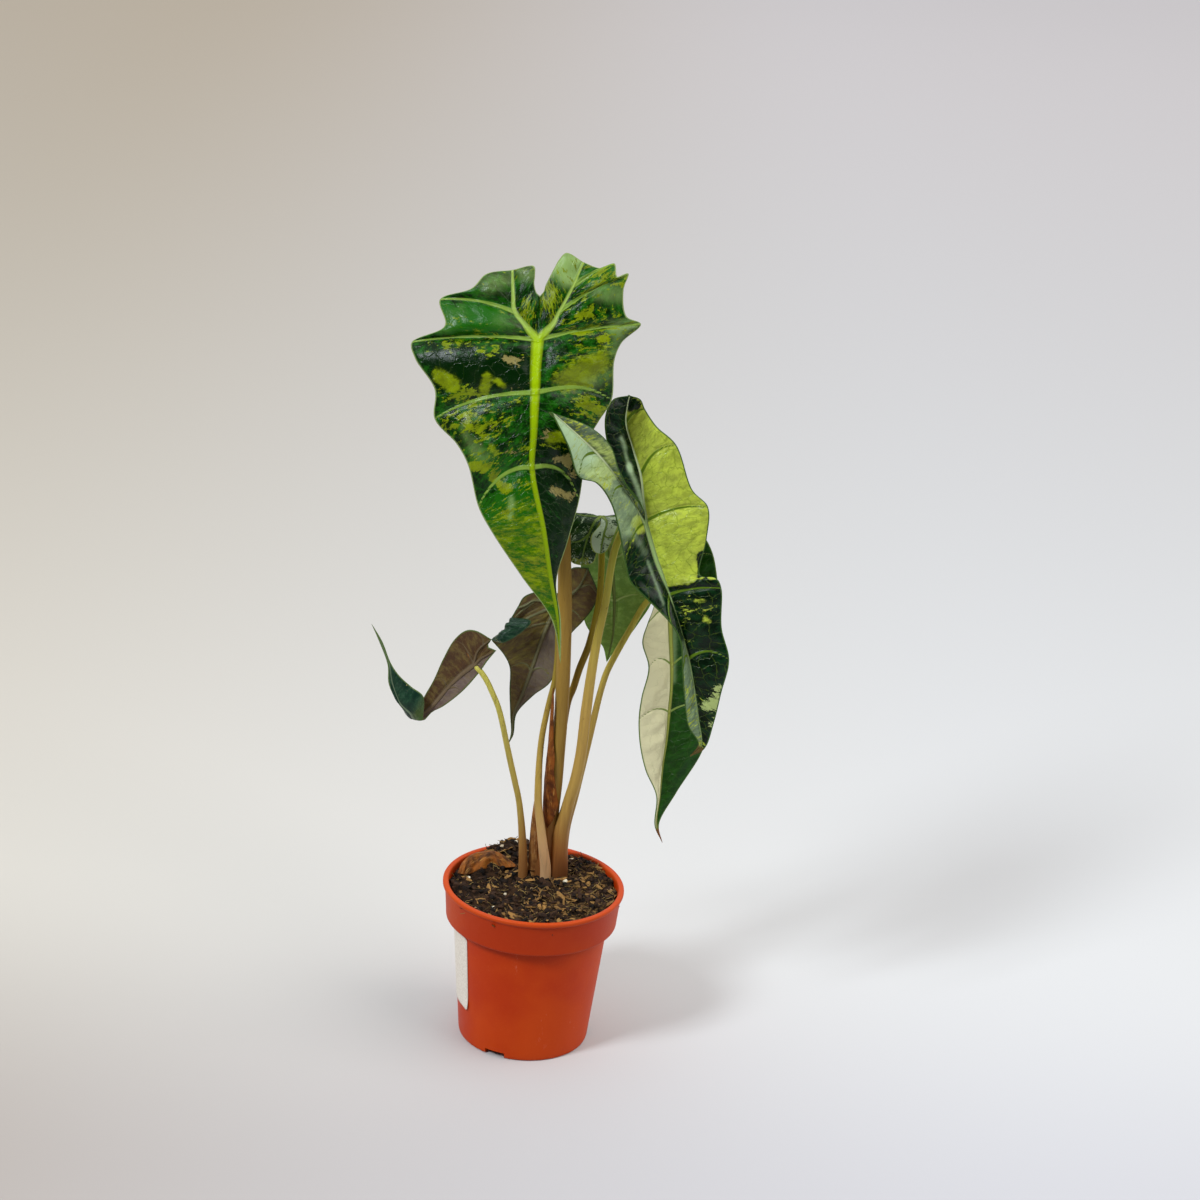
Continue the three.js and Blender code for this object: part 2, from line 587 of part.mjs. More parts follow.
// The six stems, from the corm to the joint of their blade, with a radius at each point.
const STEMS = [
  {
    route: [[3, 9.8, STEM_LOW], [3.2, 9.6, 58], [3.5, 9.2, 72], [4.3, 7.8, 86], [4.5, 6.6, 100],
      [4.6, 5.8, 116],
      [4.1, 5.2, 131], [3.1, 5, 151], [1.9, 5, 166], [-0.2, 4.5, 187], [-3.2, 3, 207], [-7, 0.5, 224],
      [-10.3, -2.3, 236.5], [-11.5, -5, 242]],
    radii: [2.6, 2.6, 2.5, 2.45, 2.35, 2.25, 2.35, 2.35, 2.15, 2.05, 2, 1.9, 1.8, 1.7],
  },
  {
    route: [[7.4, 7.4, STEM_LOW], [7.5, 7.2, 58], [7.7, 6.9, 71], [9.3, 6, 82], [11, 5.2, 91],
      [12.1, 4.7, 101],
      [12.6, 4.2, 116], [13.4, 4, 131], [14.4, 4, 142.5], [16, 4, 154.5], [16.7, 4, 166],
      [17.8, 4.6, 173.8],
      [20.2, 6.2, 180], [23.2, 5.8, 182.6], [26, 3, 183]],
    radii: [2.2, 2.2, 2.1, 1.95, 1.85, 1.8, 1.75, 1.55, 1.4, 1.2, 1.2, 1.2, 1.2, 1.2, 1.2],
  },
  {
    route: [[8.1, 13, STEM_LOW], [8.4, 12.8, 57], [8.9, 12.2, 70], [11, 11.8, 82], [12.2, 11.8, 90],
      [13.7, 11.8, 100], [15.6, 12, 112.5], [16.6, 12, 119.3], [18.2, 12, 127], [20.2, 12, 132.5],
      [22.6, 12.2, 138.2], [24.4, 12.8, 142], [26.3, 13.6, 146.3], [28.4, 14.6, 150.4], [31, 15.2, 153.4],
      [34.3, 14, 153.3], [36.8, 11.5, 150.5]],
    radii: [1.5, 1.5, 1.5, 1.4, 1.35, 1.3, 1.1, 1.05, 1.05, 1.05, 1.05, 1, 1, 1, 1, 1, 1],
  },
  {
    route: [[3, 15.5, STEM_LOW], [3.4, 15, 58], [4, 14, 79], [5, 13, 98], [5.6, 12.6, 107],
      [6.5, 12.4, 116],
      [7.8, 12.2, 120.5], [9.3, 12, 127.5], [11.6, 11.8, 135.6], [13, 11.8, 144], [13.9, 11.9, 152.5],
      [13.7, 12, 163.5], [13.2, 12.8, 170.5], [12.8, 13.8, 175.3], [12.5, 15, 179.4]],
    radii: [1.3, 1.3, 1.25, 1.2, 1.2, 1.15, 1.15, 1.15, 1.15, 1.1, 1.05, 1.05, 1.05, 1, 1],
  },
  {
    route: [[3.6, 4.8, STEM_LOW], [3.5, 4.5, 58], [2.1, 3.5, 66.6], [1, 3.2, 73.2], [-0.5, 3.8, 81.4],
      [-1, 4.6, 88], [-1.3, 6.8, 96.5], [-1.1, 9, 104], [-0.3, 10.8, 110.8], [0.5, 11.8, 116.3],
      [1.4, 12.5, 121.8],
      [1.7, 12.8, 128], [1.5, 13, 136.4], [0.8, 13.6, 143], [0, 15, 147.5]],
    radii: [1.65, 1.65, 1.5, 1.4, 1.3, 1.2, 1.05, 1, 0.95, 0.9, 0.85, 0.85, 0.85, 0.85, 0.85],
  },
  {
    route: [[-3.9, 6, STEM_LOW], [-4, 5.8, 57], [-5.1, 5, 69.8], [-7, 4, 82.5], [-8.7, 3, 89.5],
      [-10.8, 2.3, 97.5],
      [-12.6, 1.6, 104.7], [-14.3, 1, 111.6], [-16, 0.7, 117], [-18.1, 0.5, 121.6], [-20.2, 0.6, 125.6],
      [-22.4, 1, 128.4], [-24.6, 2, 130]],
    radii: [1.15, 1.15, 1.1, 1, 1, 1, 0.95, 0.95, 0.9, 0.9, 0.9, 0.9, 0.9],
  },
];

// Dry papery strips, as rows [left edge, right edge] from the bottom to the top.
const DRY_SHEATH = {
  low: [3, 5.6, 72.5],
  rows: [
    [[1.6, 6.4, 76], [4.6, 5, 76]],
    [[1, 7, 81], [6, 4.7, 81]],
    [[0.9, 7.2, 87], [5, 4.4, 87]],
    [[0.9, 7, 93], [3.9, 3.8, 93]],
    [[1.1, 6.4, 99], [3.6, 3.6, 99]],
    [[1.2, 5.7, 105], [2.8, 3.7, 105]],
    [[1.2, 5.3, 112], [2.3, 3.4, 112]],
    [[1.3, 4.8, 118], [2, 3.5, 118]],
  ],
  high: [1.4, 4, 123.5],
  bulge: -0.2,
};
const OLD_LEAF_BASE = {
  low: [0, 6.6, 50],
  rows: [
    [[-2, 6.9, 53], [0.4, 6.6, 53]],
    [[-2.3, 6.8, 60], [0.4, 6.4, 60]],
    [[-2.5, 6.6, 67], [0.2, 6.2, 67]],
    [[-2.4, 6.5, 74], [-0.6, 6.2, 74]],
    [[-2.1, 6.5, 80], [-1.1, 6.5, 80]],
  ],
  high: [-1.7, 6.9, 85],
  bulge: -0.12,
};
const LEAF_SCRAP = {
  low: [-25.5, 3, 54.6],
  rows: [
    [[-24, 9, 56.2], [-22.5, 4, 53.9]],
    [[-20.5, 14, 57], [-18.5, 8, 53.9]],
    [[-15.5, 16.5, 57.2], [-14, 10, 54.3]],
    [[-10.5, 14, 56.8], [-10, 9.8, 54.8]],
  ],
  high: [-6, 9.6, 55.6],
  bulge: -0.22,
};

function stripSkin({ low, rows, high, bulge }) {
  const flat = { vein: 0, bulge: 0, rib: 0 };
  const kinds = [flat, ...rows.map(() => ({ ...flat, bulge })), flat];
  const leftEdge = [low, ...rows.map((row) => row[0]), high];
  const rightEdge = [low, ...rows.map((row) => row[1]), high];
  const skin = new Skin();
  skin.addGrid(halfBlade([leftEdge], rightEdge, kinds, [0, 0.33, 0.67, 1], 1), false);
  return skin;
}

// The pot: one closed profile turned round the axis, with drain notches in its bottom corner.
function potWallRadius(z) {
  const step = POT_HEIGHT - COLLAR_HEIGHT;
  if (z <= step) return THREE.MathUtils.lerp(BASE_RADIUS, BODY_TOP_RADIUS, z / step);
  const top = RIM_RADIUS - LIP_BEAD;
  return THREE.MathUtils.lerp(COLLAR_BOTTOM_RADIUS, top, (z - step) / COLLAR_HEIGHT);
}

function potSolid() {
  const step = POT_HEIGHT - COLLAR_HEIGHT;
  const top = RIM_RADIUS - LIP_BEAD;
  const profile = [
    [0, 0], [BASE_RADIUS - 1.2, 0], [BASE_RADIUS - 0.3, 0.5], [BASE_RADIUS, 1.5],
    [BODY_TOP_RADIUS, step - 0.8], [COLLAR_BOTTOM_RADIUS - 0.9, step - 0.6],
    [COLLAR_BOTTOM_RADIUS - 0.1, step + 0.2],
    [COLLAR_BOTTOM_RADIUS + 0.15, step + 1.4], [top, POT_HEIGHT - 1.6], [RIM_RADIUS, POT_HEIGHT - 1.1],
    [RIM_RADIUS, POT_HEIGHT - 0.4], [RIM_RADIUS - 0.5, POT_HEIGHT], [top - POT_WALL, POT_HEIGHT],
    [COLLAR_BOTTOM_RADIUS - POT_WALL, step + 1], [BODY_TOP_RADIUS - POT_WALL, step - 0.4],
    [BASE_RADIUS - POT_WALL, POT_WALL + 0.8], [BASE_RADIUS - POT_WALL - 0.8, POT_WALL], [0, POT_WALL],
  ].map(([r, z]) => new THREE.Vector2(r, z));
  const shell = new THREE.LatheGeometry(profile, POT_FACETS).rotateX(Math.PI / 2);
  let pot = solidOf(shell);
  for (let i = 0; i < DRAIN_COUNT; i += 1) {
    const notch = new THREE.BoxGeometry(6, DRAIN_WIDTH, DRAIN_HEIGHT * 2)
      .translate(BASE_RADIUS - 0.5, 0, 0)
      .rotateZ(DRAIN_FIRST_ANGLE + (TURN * i) / DRAIN_COUNT);
    pot = pot.subtract(solidOf(notch));
  }
  return pot;
}

// The sticker: a thin patch that follows the tapering wall.
function labelSolid() {
  const columns = 14;
  const rows = 3;
  const positions = [];
  const triangles = [];
  const count = (columns + 1) * (rows + 1);
  for (const thickness of [0, LABEL_THICKNESS]) {
    for (let j = 0; j <= rows; j += 1) {
      for (let i = 0; i <= columns; i += 1) {
        const z = THREE.MathUtils.lerp(LABEL_LOW, LABEL_HIGH, j / rows);
        const angle = LABEL_FROM - (LABEL_SWEEP * i) / columns;
        const radius = potWallRadius(z) + LABEL_GAP + thickness;
        positions.push(radius * Math.cos(angle), radius * Math.sin(angle), z);
      }
    }
  }
  const outer = (i, j) => count + j * (columns + 1) + i;
  for (let j = 0; j < rows; j += 1) {
    for (let i = 0; i < columns; i += 1) {
      const [a, b, c, d] = [outer(i, j), outer(i + 1, j), outer(i + 1, j + 1), outer(i, j + 1)];
      triangles.push(a, c, b, a, d, c);
      triangles.push(a - count, b - count, c - count, a - count, c - count, d - count);
    }
  }
  const rim = [];
  for (let i = 0; i < columns; i += 1) rim.push([i, 0]);
  for (let j = 0; j < rows; j += 1) rim.push([columns, j]);
  for (let i = columns; i > 0; i -= 1) rim.push([i, rows]);
  for (let j = rows; j > 0; j -= 1) rim.push([0, j]);
  rim.forEach((corner, k) => {
    const a = outer(...corner);
    const b = outer(...rim[(k + 1) % rim.length]);
    triangles.push(a, b, b - count, a, b - count, a - count);
  });
  return solidOf(geometryOf(positions, triangles));
}

// The corm and its roots, also grown by the clearance to cut its place in the soil.
function cormSolid(grow) {
  const [x, y] = CORM_CENTRE;
  const profile = [
    [0, CORM_TOP + grow], [CORM_RADIUS * 0.92 + grow, CORM_TOP + grow], [CORM_RADIUS + grow, CORM_TOP - 2],
    [CORM_RADIUS * 0.95 + grow, CORM_TOP - 9], [CORM_RADIUS * 0.7 + grow, CORM_TOP - 17],
    [CORM_RADIUS * 0.35 + grow, CORM_TOP - CORM_LENGTH + 2 - grow],
      [0, CORM_TOP - CORM_LENGTH - 1.5 * grow],
  ].map(([r, z]) => new THREE.Vector2(r, z)).reverse();
  let corm = solidOf(new THREE.LatheGeometry(profile, 16).rotateX(Math.PI / 2).translate(x, y, 0));
  for (let i = 0; i < ROOT_COUNT; i += 1) {
    const angle = (TURN * (i + 0.3)) / ROOT_COUNT;
    const [c, s] = [Math.cos(angle), Math.sin(angle)];
    const low = CORM_TOP - 10 - 4 * (i % 2);
    const reach = 4 + 2 * (i % 3);
    const route = [
      [x + c * CORM_RADIUS * 0.5, y + s * CORM_RADIUS * 0.5, low],
      [x * 0.7 + c * (CORM_RADIUS + 1), y * 0.6 + s * (CORM_RADIUS + 1), low - 3],
      [x * 0.3 + c * (CORM_RADIUS + 3), y * 0.2 + s * (CORM_RADIUS + 3), low - 12],
      [c * (CORM_RADIUS + reach - 2), s * (CORM_RADIUS + reach - 2), 10 + 2 * (i % 3)],
    ];
    const radii = [ROOT_RADIUS, ROOT_RADIUS, ROOT_RADIUS * 0.8, ROOT_RADIUS * 0.6];
    corm = corm.add(stalk(route, radii, 6, 5, grow));
  }
  return corm;
}

// The potting mix: it fills the pot, stands up in a mound round the stems and in banks at the back,
// the higher one at the left, and has a crumbled top.
function soilHeight(x, y) {
  const mound = SOIL_MOUND * Math.exp(-((x - SOIL_TOP[0]) ** 2 + (y - SOIL_TOP[1]) ** 2) / 160);
  const bank = 4.2 * Math.exp(-((x + 9) ** 2 + (y - 23) ** 2) / 90);
  const rise = 0.9 * Math.exp(-((x - 14) ** 2 + (y - 20) ** 2) / 80);
  const crumbs = Math.sin(x * 1.9 + 2 * Math.sin(y * 0.9)) * Math.sin(y * 2.1 + 1.7 * Math.sin(x * 0.8));
  return SOIL_LEVEL + mound + bank + rise + SOIL_CRUMB * crumbs;
}

function soilSolid() {
  const innerRadius = (z) => potWallRadius(z) - POT_WALL - SOIL_GAP;
  const positions = [];
  const triangles = [];
  const topRadius = innerRadius(SOIL_LEVEL) - 0.2;
  const step = POT_HEIGHT - COLLAR_HEIGHT;
  const ring = (radius, height, shift = 0) => {
    for (let j = 0; j < SOIL_FACETS; j += 1) {
      const angle = (TURN * j) / SOIL_FACETS;
      const x = radius * Math.cos(angle) + shift * SOIL_TOP[0];
      const y = radius * Math.sin(angle) + shift * SOIL_TOP[1];
      positions.push(x, y, height(x, y));
    }
  };
  positions.push(...SOIL_TOP, soilHeight(...SOIL_TOP));
  for (let i = 1; i <= SOIL_RINGS; i += 1) {
    ring((topRadius * i) / SOIL_RINGS, soilHeight, 1 - i / SOIL_RINGS);
  }
  ring(innerRadius(step + 2.2), () => step + 2.2);
  ring(innerRadius(step) - COLLAR_BOTTOM_RADIUS + BODY_TOP_RADIUS, () => step - 1);
  ring(BASE_RADIUS - POT_WALL - SOIL_GAP, () => POT_WALL + 2.2);
  ring(BASE_RADIUS - POT_WALL - SOIL_GAP - 1.2, () => POT_WALL + SOIL_GAP);
  positions.push(0, 0, POT_WALL + SOIL_GAP);
  const rings = positions.length / 3 - 2;
  const last = rings + 1;
  for (let j = 0; j < SOIL_FACETS; j += 1) {
    const next = (j + 1) % SOIL_FACETS;
    triangles.push(0, 1 + j, 1 + next);
    for (let start = 1; start + SOIL_FACETS < last; start += SOIL_FACETS) {
      const [a, b] = [start + j, start + next];
      triangles.push(a, a + SOIL_FACETS, b + SOIL_FACETS, a, b + SOIL_FACETS, b);
    }
    const bottom = last - SOIL_FACETS;
    triangles.push(bottom + j, last, bottom + next);
  }
  return solidOf(geometryOf(positions, triangles));
}

const bladeSkins = BLADES.map(bladeSkin);
bladeSkins.forEach((skin, i) => {
  addPiece(`blade_${i + 1}`, skin.solid(BLADE_THICKNESS), BLADES[i].colour, 0.35);
});

// What is left of a solid beside a blade, with a gap all round the blade.
function clearOf(solid, skin) {
  let rest = solid.subtract(skin.solid(BLADE_THICKNESS, STEM_TOP_GAP));
  const blade = skin.solid(BLADE_THICKNESS);
  for (const axis of [0, 1, 2]) {
    for (const way of [-STEM_TOP_GAP, STEM_TOP_GAP]) {
      const shift = [0, 0, 0];
      shift[axis] = way;
      rest = rest.subtract(blade.translate(shift));
    }
  }
  return rest;
}

STEMS.forEach(({ route, radii }, i) => {
  const whole = stalk(route, radii, STEM_SIDES, STEM_STEP).trimByPlane([0, 0, 1], STEM_FOOT);
  const stem = mainBody(clearOf(whole, bladeSkins[i]));
  addPiece(`stem_${i + 1}`, stem, STEM_COLOUR, 0.45);
});

const strips = [
  ['dry_sheath', stripSkin(DRY_SHEATH), DRY_COLOUR],
  ['old_leaf_base', stripSkin(OLD_LEAF_BASE), BASE_COLOUR],
  ['leaf_scrap', stripSkin(LEAF_SCRAP), SCRAP_COLOUR],
];
for (const [name, skin, colour] of strips) {
  addPiece(name, skin.solid(BLADE_THICKNESS), colour, 0.8);
}

let soil = soilSolid().subtract(cormSolid(HOLE_GAP));
for (const { route, radii } of STEMS) {
  soil = soil.subtract(stalk(route, radii, STEM_SIDES, STEM_STEP, HOLE_GAP));
}
for (const [, skin] of strips) soil = soil.subtract(skin.solid(BLADE_THICKNESS, HOLE_GAP));
addPiece('soil', mainBody(soil), SOIL_COLOUR, 0.95);
addPiece('corm', cormSolid(0), CORM_COLOUR, 0.8);
addPiece('pot', potSolid(), POT_COLOUR, 0.5);
addPiece('label', labelSolid(), LABEL_COLOUR, 0.7);

const plant = new THREE.Group();
plant.add(...Object.values(pieces));

export default plant;
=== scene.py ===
from math import cos, pi, radians, sin

import bpy
import numpy as np
from mathutils import Matrix, Vector


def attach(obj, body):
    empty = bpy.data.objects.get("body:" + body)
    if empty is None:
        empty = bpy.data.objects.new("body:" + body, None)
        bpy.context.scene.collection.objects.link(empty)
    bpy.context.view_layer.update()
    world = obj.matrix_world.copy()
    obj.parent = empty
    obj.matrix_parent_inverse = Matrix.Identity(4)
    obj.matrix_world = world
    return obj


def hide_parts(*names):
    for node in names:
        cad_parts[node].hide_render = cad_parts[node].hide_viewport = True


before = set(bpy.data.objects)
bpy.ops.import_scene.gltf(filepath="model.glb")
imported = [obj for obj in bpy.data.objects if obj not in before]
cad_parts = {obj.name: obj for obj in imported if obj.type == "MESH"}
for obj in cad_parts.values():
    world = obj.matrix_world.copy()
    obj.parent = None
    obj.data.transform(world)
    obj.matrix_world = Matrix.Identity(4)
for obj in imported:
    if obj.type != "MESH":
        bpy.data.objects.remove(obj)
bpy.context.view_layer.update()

# Studio. A pale floor with painted shade on it: warmer and darker towards the left and in front,
# brighter towards the back. A cool window-like light at the upper left, a broad warm one at the
# right and pale surroundings that are darker in front. The camera looks down on the plant and is
# rolled a little, so that the plant leans right.
MM = 0.001
AIM = Vector((14.1, 0, 156.7)) * MM
CAMERA_DISTANCE = 0.955
CAMERA_TILT = radians(21.1)
CAMERA_ROLL = radians(4.75)
LENS = 90
SENSOR = 36
LIGHTS = {
    "window": dict(place=(-0.72, -0.68, 1.0), aim=(0, 0, 0.15), size=(0.26, 0.36), power=13,
                   colour=(0.88, 0.95, 1.0)),
    "broad": dict(place=(0.9, -0.3, 1.3), aim=(0, 0, 0.1), size=(1.2, 1.2), power=13,
                  colour=(1.0, 0.97, 0.93)),
}
SURROUNDINGS = (236, 236, 238)
DARK_IN_FRONT = 0.1
BRIGHT_ABOVE = 0.95
BRIGHTENING = (-0.35, 0.75)
LEAN_TO_BACK = 1.1
FLOOR_SIZE = 12
FLOOR_GAP = 0.05
# Floor colours with painted light and shade: each side is darker in front and brighter at the back, and the
# left side is painted warmer and darker as a soft shadow.
FLOOR_RIGHT_PAINTED_SHADING = {"near": (210, 211, 212), "far": (237, 233, 234), "front": (192, 192, 197)}
FLOOR_LEFT_PAINTED_SHADING = {"near": (198, 191, 178), "far": (212, 200, 181), "front": (148, 134, 118)}
FLOOR_SHADE_LEFTWARDS = (0.22, -0.42)
FLOOR_LIGHT_BACKWARDS = (0.3, 2.0)
FLOOR_SHADE_FORWARDS = (0.1, -0.12)


def srgb(colour):
    """A colour as a screen shows it, 0 to 255, as the linear values that a shader takes."""
    values = [value / 255 for value in colour]
    return (*[v / 12.92 if v <= 0.04045 else ((v + 0.055) / 1.055) ** 2.4 for v in values], 1)


def add_node(tree, kind, inputs=None, **settings):
    """A node with its settings, and with values or links on its named or numbered inputs."""
    node = tree.nodes.new(kind)
    for name, value in settings.items():
        setattr(node, name, value)
    for name, value in (inputs or {}).items():
        if isinstance(value, bpy.types.NodeSocket):
            tree.links.new(value, node.inputs[name])
        else:
            node.inputs[name].default_value = value
    return node


def mixed(tree, share, first, second):
    """The second colour laid over the first by a share. A plain colour is given as for srgb."""
    first, second = (srgb(value) if isinstance(value, tuple) else value for value in (first, second))
    return add_node(tree, "ShaderNodeMix", {0: share, 6: first, 7: second}, data_type="RGBA").outputs[2]


def worked_out(tree, operation, first, second):
    """The result of a sum on two numbers."""
    return add_node(tree, "ShaderNodeMath", {0: first, 1: second}, operation=operation).outputs[0]


def times(tree, first, second):
    """The product of two numbers."""
    return worked_out(tree, "MULTIPLY", first, second)


def plus(tree, first, *others):
    """The total of several numbers."""
    for other in others:
        first = worked_out(tree, "ADD", first, other)
    return first


def between(tree, value, low, high, to_low=0.0, to_high=1.0):
    """A soft step: `to_low` where the value is under `low`, `to_high` where it is over `high`."""
    inputs = {"Value": value, "From Min": low, "From Max": high, "To Min": to_low, "To Max": to_high}
    return add_node(tree, "ShaderNodeMapRange", inputs, interpolation_type="SMOOTHSTEP").outputs[0]


def along_axis(tree, place, axis):
    """One of the three numbers of a place."""
    return add_node(tree, "ShaderNodeSeparateXYZ", {"Vector": place}).outputs[axis]


def object_place(tree):
    """The place on the object, in metres."""
    return add_node(tree, "ShaderNodeTexCoord").outputs["Object"]


def new_material(name, **sockets):
    """A material with the plain values of its shader; returns it with its tree and shader."""
    material = bpy.data.materials.new(name)
    material.use_nodes = True
    shader = material.node_tree.nodes["Principled BSDF"]
    for socket, value in sockets.items():
        shader.inputs[socket.replace("_", " ")].default_value = value
    return material, material.node_tree, shader


def finish_shader(tree, shader, **sockets):
    """Links what changes over the surface to the shader's sockets."""
    for socket, value in sockets.items():
        tree.links.new(value, shader.inputs[socket.replace("_", " ")])


def make_piece(name, points, faces, materials, face_materials=None, values=None, flat_map=None):
    """A mesh object at the origin. Points are in millimetres; `values` are numbers on its points."""
    mesh = bpy.data.meshes.new(name)
    mesh.from_pydata((np.asarray(points, float) * MM).tolist(), [], [list(face) for face in faces])
    for material in materials:
        mesh.materials.append(material)
    if face_materials is not None:
        mesh.polygons.foreach_set("material_index", np.asarray(face_materials, np.int32))
    for key, numbers in (values or {}).items():
        attribute = mesh.attributes.new(key, "FLOAT", "POINT")
        attribute.data.foreach_set("value", np.asarray(numbers, float).ravel())
    if flat_map is not None:
        layer = mesh.uv_layers.new(name="surface")
        layer.data.foreach_set("uv", np.asarray(flat_map, float).ravel())
    mesh.polygons.foreach_set("use_smooth", np.ones(len(mesh.polygons), bool))
    mesh.update()
    piece = bpy.data.objects.new(name, mesh)
    bpy.context.scene.collection.objects.link(piece)
    return piece


def soft_light(name, place, aim, size, power, colour):
    """A rectangular lamp that faces what it is aimed at."""
    light = bpy.data.lights.new(name, "AREA")
    light.shape = "RECTANGLE"
    light.size, light.size_y = size
    light.energy = power
    light.color = colour
    lamp = bpy.data.objects.new(name, light)
    lamp.location = place
    lamp.rotation_euler = (Vector(aim) - Vector(place)).to_track_quat("-Z", "Y").to_euler()
    bpy.context.scene.collection.objects.link(lamp)


forward = Vector((0, cos(CAMERA_TILT), -sin(CAMERA_TILT)))
level = Vector((1, 0, 0))
sideways = cos(CAMERA_ROLL) * level + sin(CAMERA_ROLL) * level.cross(forward)
camera_axes = Matrix((sideways, sideways.cross(forward), -forward)).transposed()
lens = bpy.data.cameras.new("camera")
lens.lens = LENS
lens.sensor_width = SENSOR
camera = bpy.data.objects.new("camera", lens)
camera.matrix_world = Matrix.Translation(AIM - CAMERA_DISTANCE * forward) @ camera_axes.to_4x4()
bpy.context.scene.collection.objects.link(camera)
bpy.context.scene.camera = camera

for name, light in LIGHTS.items():
    soft_light(name, **light)
world = bpy.data.worlds.new("surroundings")
world.use_nodes = True
tree = world.node_tree
way = add_node(tree, "ShaderNodeTexCoord").outputs["Generated"]
up_and_back = plus(tree, along_axis(tree, way, "Z"), times(tree, along_axis(tree, way, "Y"), LEAN_TO_BACK))
strength = between(tree, up_and_back, *BRIGHTENING, DARK_IN_FRONT, BRIGHT_ABOVE)
tree.nodes["Background"].inputs["Color"].default_value = srgb(SURROUNDINGS)
tree.links.new(strength, tree.nodes["Background"].inputs["Strength"])
bpy.context.scene.world = world
bpy.context.scene.view_settings.view_transform = "Standard"

floor_paper, tree, shader = new_material("paper", Roughness=0.9, Specular_IOR_Level=0.15)
place = object_place(tree)
shade_leftwards = between(tree, along_axis(tree, place, "X"), *FLOOR_SHADE_LEFTWARDS)
light_backwards = between(tree, along_axis(tree, place, "Y"), *FLOOR_LIGHT_BACKWARDS)
shade_in_front = between(tree, along_axis(tree, place, "Y"), *FLOOR_SHADE_FORWARDS)
# Painted shading on the floor: darker in front and towards the left, brighter towards the back.
cool, warm = (
    mixed(tree, shade_in_front, mixed(tree, light_backwards, shades["near"], shades["far"]), shades["front"])
    for shades in (FLOOR_RIGHT_PAINTED_SHADING, FLOOR_LEFT_PAINTED_SHADING))
finish_shader(tree, shader, Base_Color=mixed(tree, shade_leftwards, cool, warm))
half = 0.5 * FLOOR_SIZE / MM
corners = [(x, y, -FLOOR_GAP) for x, y in ((-half, -half), (half, -half), (half, half), (-half, half))]
floor = make_piece("floor", corners, [(0, 1, 2, 3)], [floor_paper])

# Nursery pot. Thin orange-brown plastic, injection moulded in one piece: a tapering wall, a wider
# collar with a beaded lip to stack it by, and three drain notches cut into the bottom corner.
POT_HEIGHT = 55
RIM_RADIUS = 30
COLLAR_BOTTOM_RADIUS = 28.3
COLLAR_HEIGHT = 12
BODY_TOP_RADIUS = 25.5
BASE_RADIUS = 21.6
POT_WALL = 1.1
LIP_BEAD = 0.8
POT_CORNER = 0.7
POT_LIP_EDGE = (53.2, 54.4)
POT_STEP_SHADE = (4, 1)
POT_SIDES = 192
POT_SHARP_ANGLE = radians(35)
DRAIN_COUNT = 3
DRAIN_WIDTH = 7
DRAIN_HEIGHT = 2
DRAIN_DEPTH = 6
DRAIN_INSET = 0.5
DRAIN_FIRST_ANGLE = -1.97
POT_ORANGE = (196, 66, 4)
POT_DEEP_ORANGE = (182, 50, 0)
POT_GRAIN = (208, 84, 24)
# Painted highlight colour for the top band of the lip.
POT_LIP_HIGHLIGHT = (214, 84, 24)
# Painted shade colour, laid over the pot from just under the collar's step upwards.
POT_COLLAR_SHADE = (140, 44, 14)
POT_SCUFF = (230, 170, 150)


def noise(tree, place, scale, detail=3.0, roughness=0.55, distortion=0.0):
    """Soft random values about 0.5, `scale` of them to a unit of the place."""
    inputs = {"Vector": place, "Scale": scale, "Detail": detail, "Roughness": roughness,
              "Distortion": distortion}
    return add_node(tree, "ShaderNodeTexNoise", inputs).outputs[0]


def stretched(tree, place, scale, shift=(0, 0, 0)):
    """A place scaled along each axis, and shifted, so that a pattern on it is drawn out."""
    inputs = {"Vector": place, "Location": shift, "Scale": scale}
    return add_node(tree, "ShaderNodeMapping", inputs).outputs[0]


def dented(tree, height, strength, distance):
    """The surface's slope as a height pushes it in and out."""
    inputs = {"Height": height, "Strength": strength, "Distance": distance}
    return add_node(tree, "ShaderNodeBump", inputs).outputs[0]


def stand_for(piece, node):
    """The piece takes the place of a CAD node that carries its material slot."""
    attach(piece, "root")
    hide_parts(node)


def ring_faces(count, sides, flipped=False):
    """Faces of a closed form of `count` points: an end point, rings of `sides` points, an end point."""
    last = count - 1
    faces = []
    for i in range(sides):
        j = (i + 1) % sides
        faces.append((0, 1 + i, 1 + j))
        for start in range(1, last - sides, sides):
            faces.append((start + i, start + sides + i, start + sides + j, start + j))
        faces.append((last - sides + i, last, last - sides + j))
    return [(face[0], *face[:0:-1]) for face in faces] if flipped else faces


def ring(radius, height, sides):
    """Points on a level circle round the axis."""
    turns = [2 * pi * i / sides for i in range(sides)]
    return [(radius * cos(turn), radius * sin(turn), height) for turn in turns]


def rounded(profile, radius, steps=5):
    """The same profile with its corners rounded by a curve that starts `radius` before each."""
    line = [np.array(profile[0], float)]
    for before, corner, after in zip(profile, profile[1:], profile[2:]):
        before, corner, after = (np.array(p, float) for p in (before, corner, after))
        back, on = np.linalg.norm(before - corner), np.linalg.norm(after - corner)
        reach = min(radius, 0.45 * back, 0.45 * on)
        start = corner + (before - corner) * reach / back
        end = corner + (after - corner) * reach / on
        for t in np.linspace(0, 1, steps):
            line.append((1 - t) ** 2 * start + 2 * t * (1 - t) * corner + t * t * end)
    return [tuple(p) for p in (*line, np.array(profile[-1], float))]


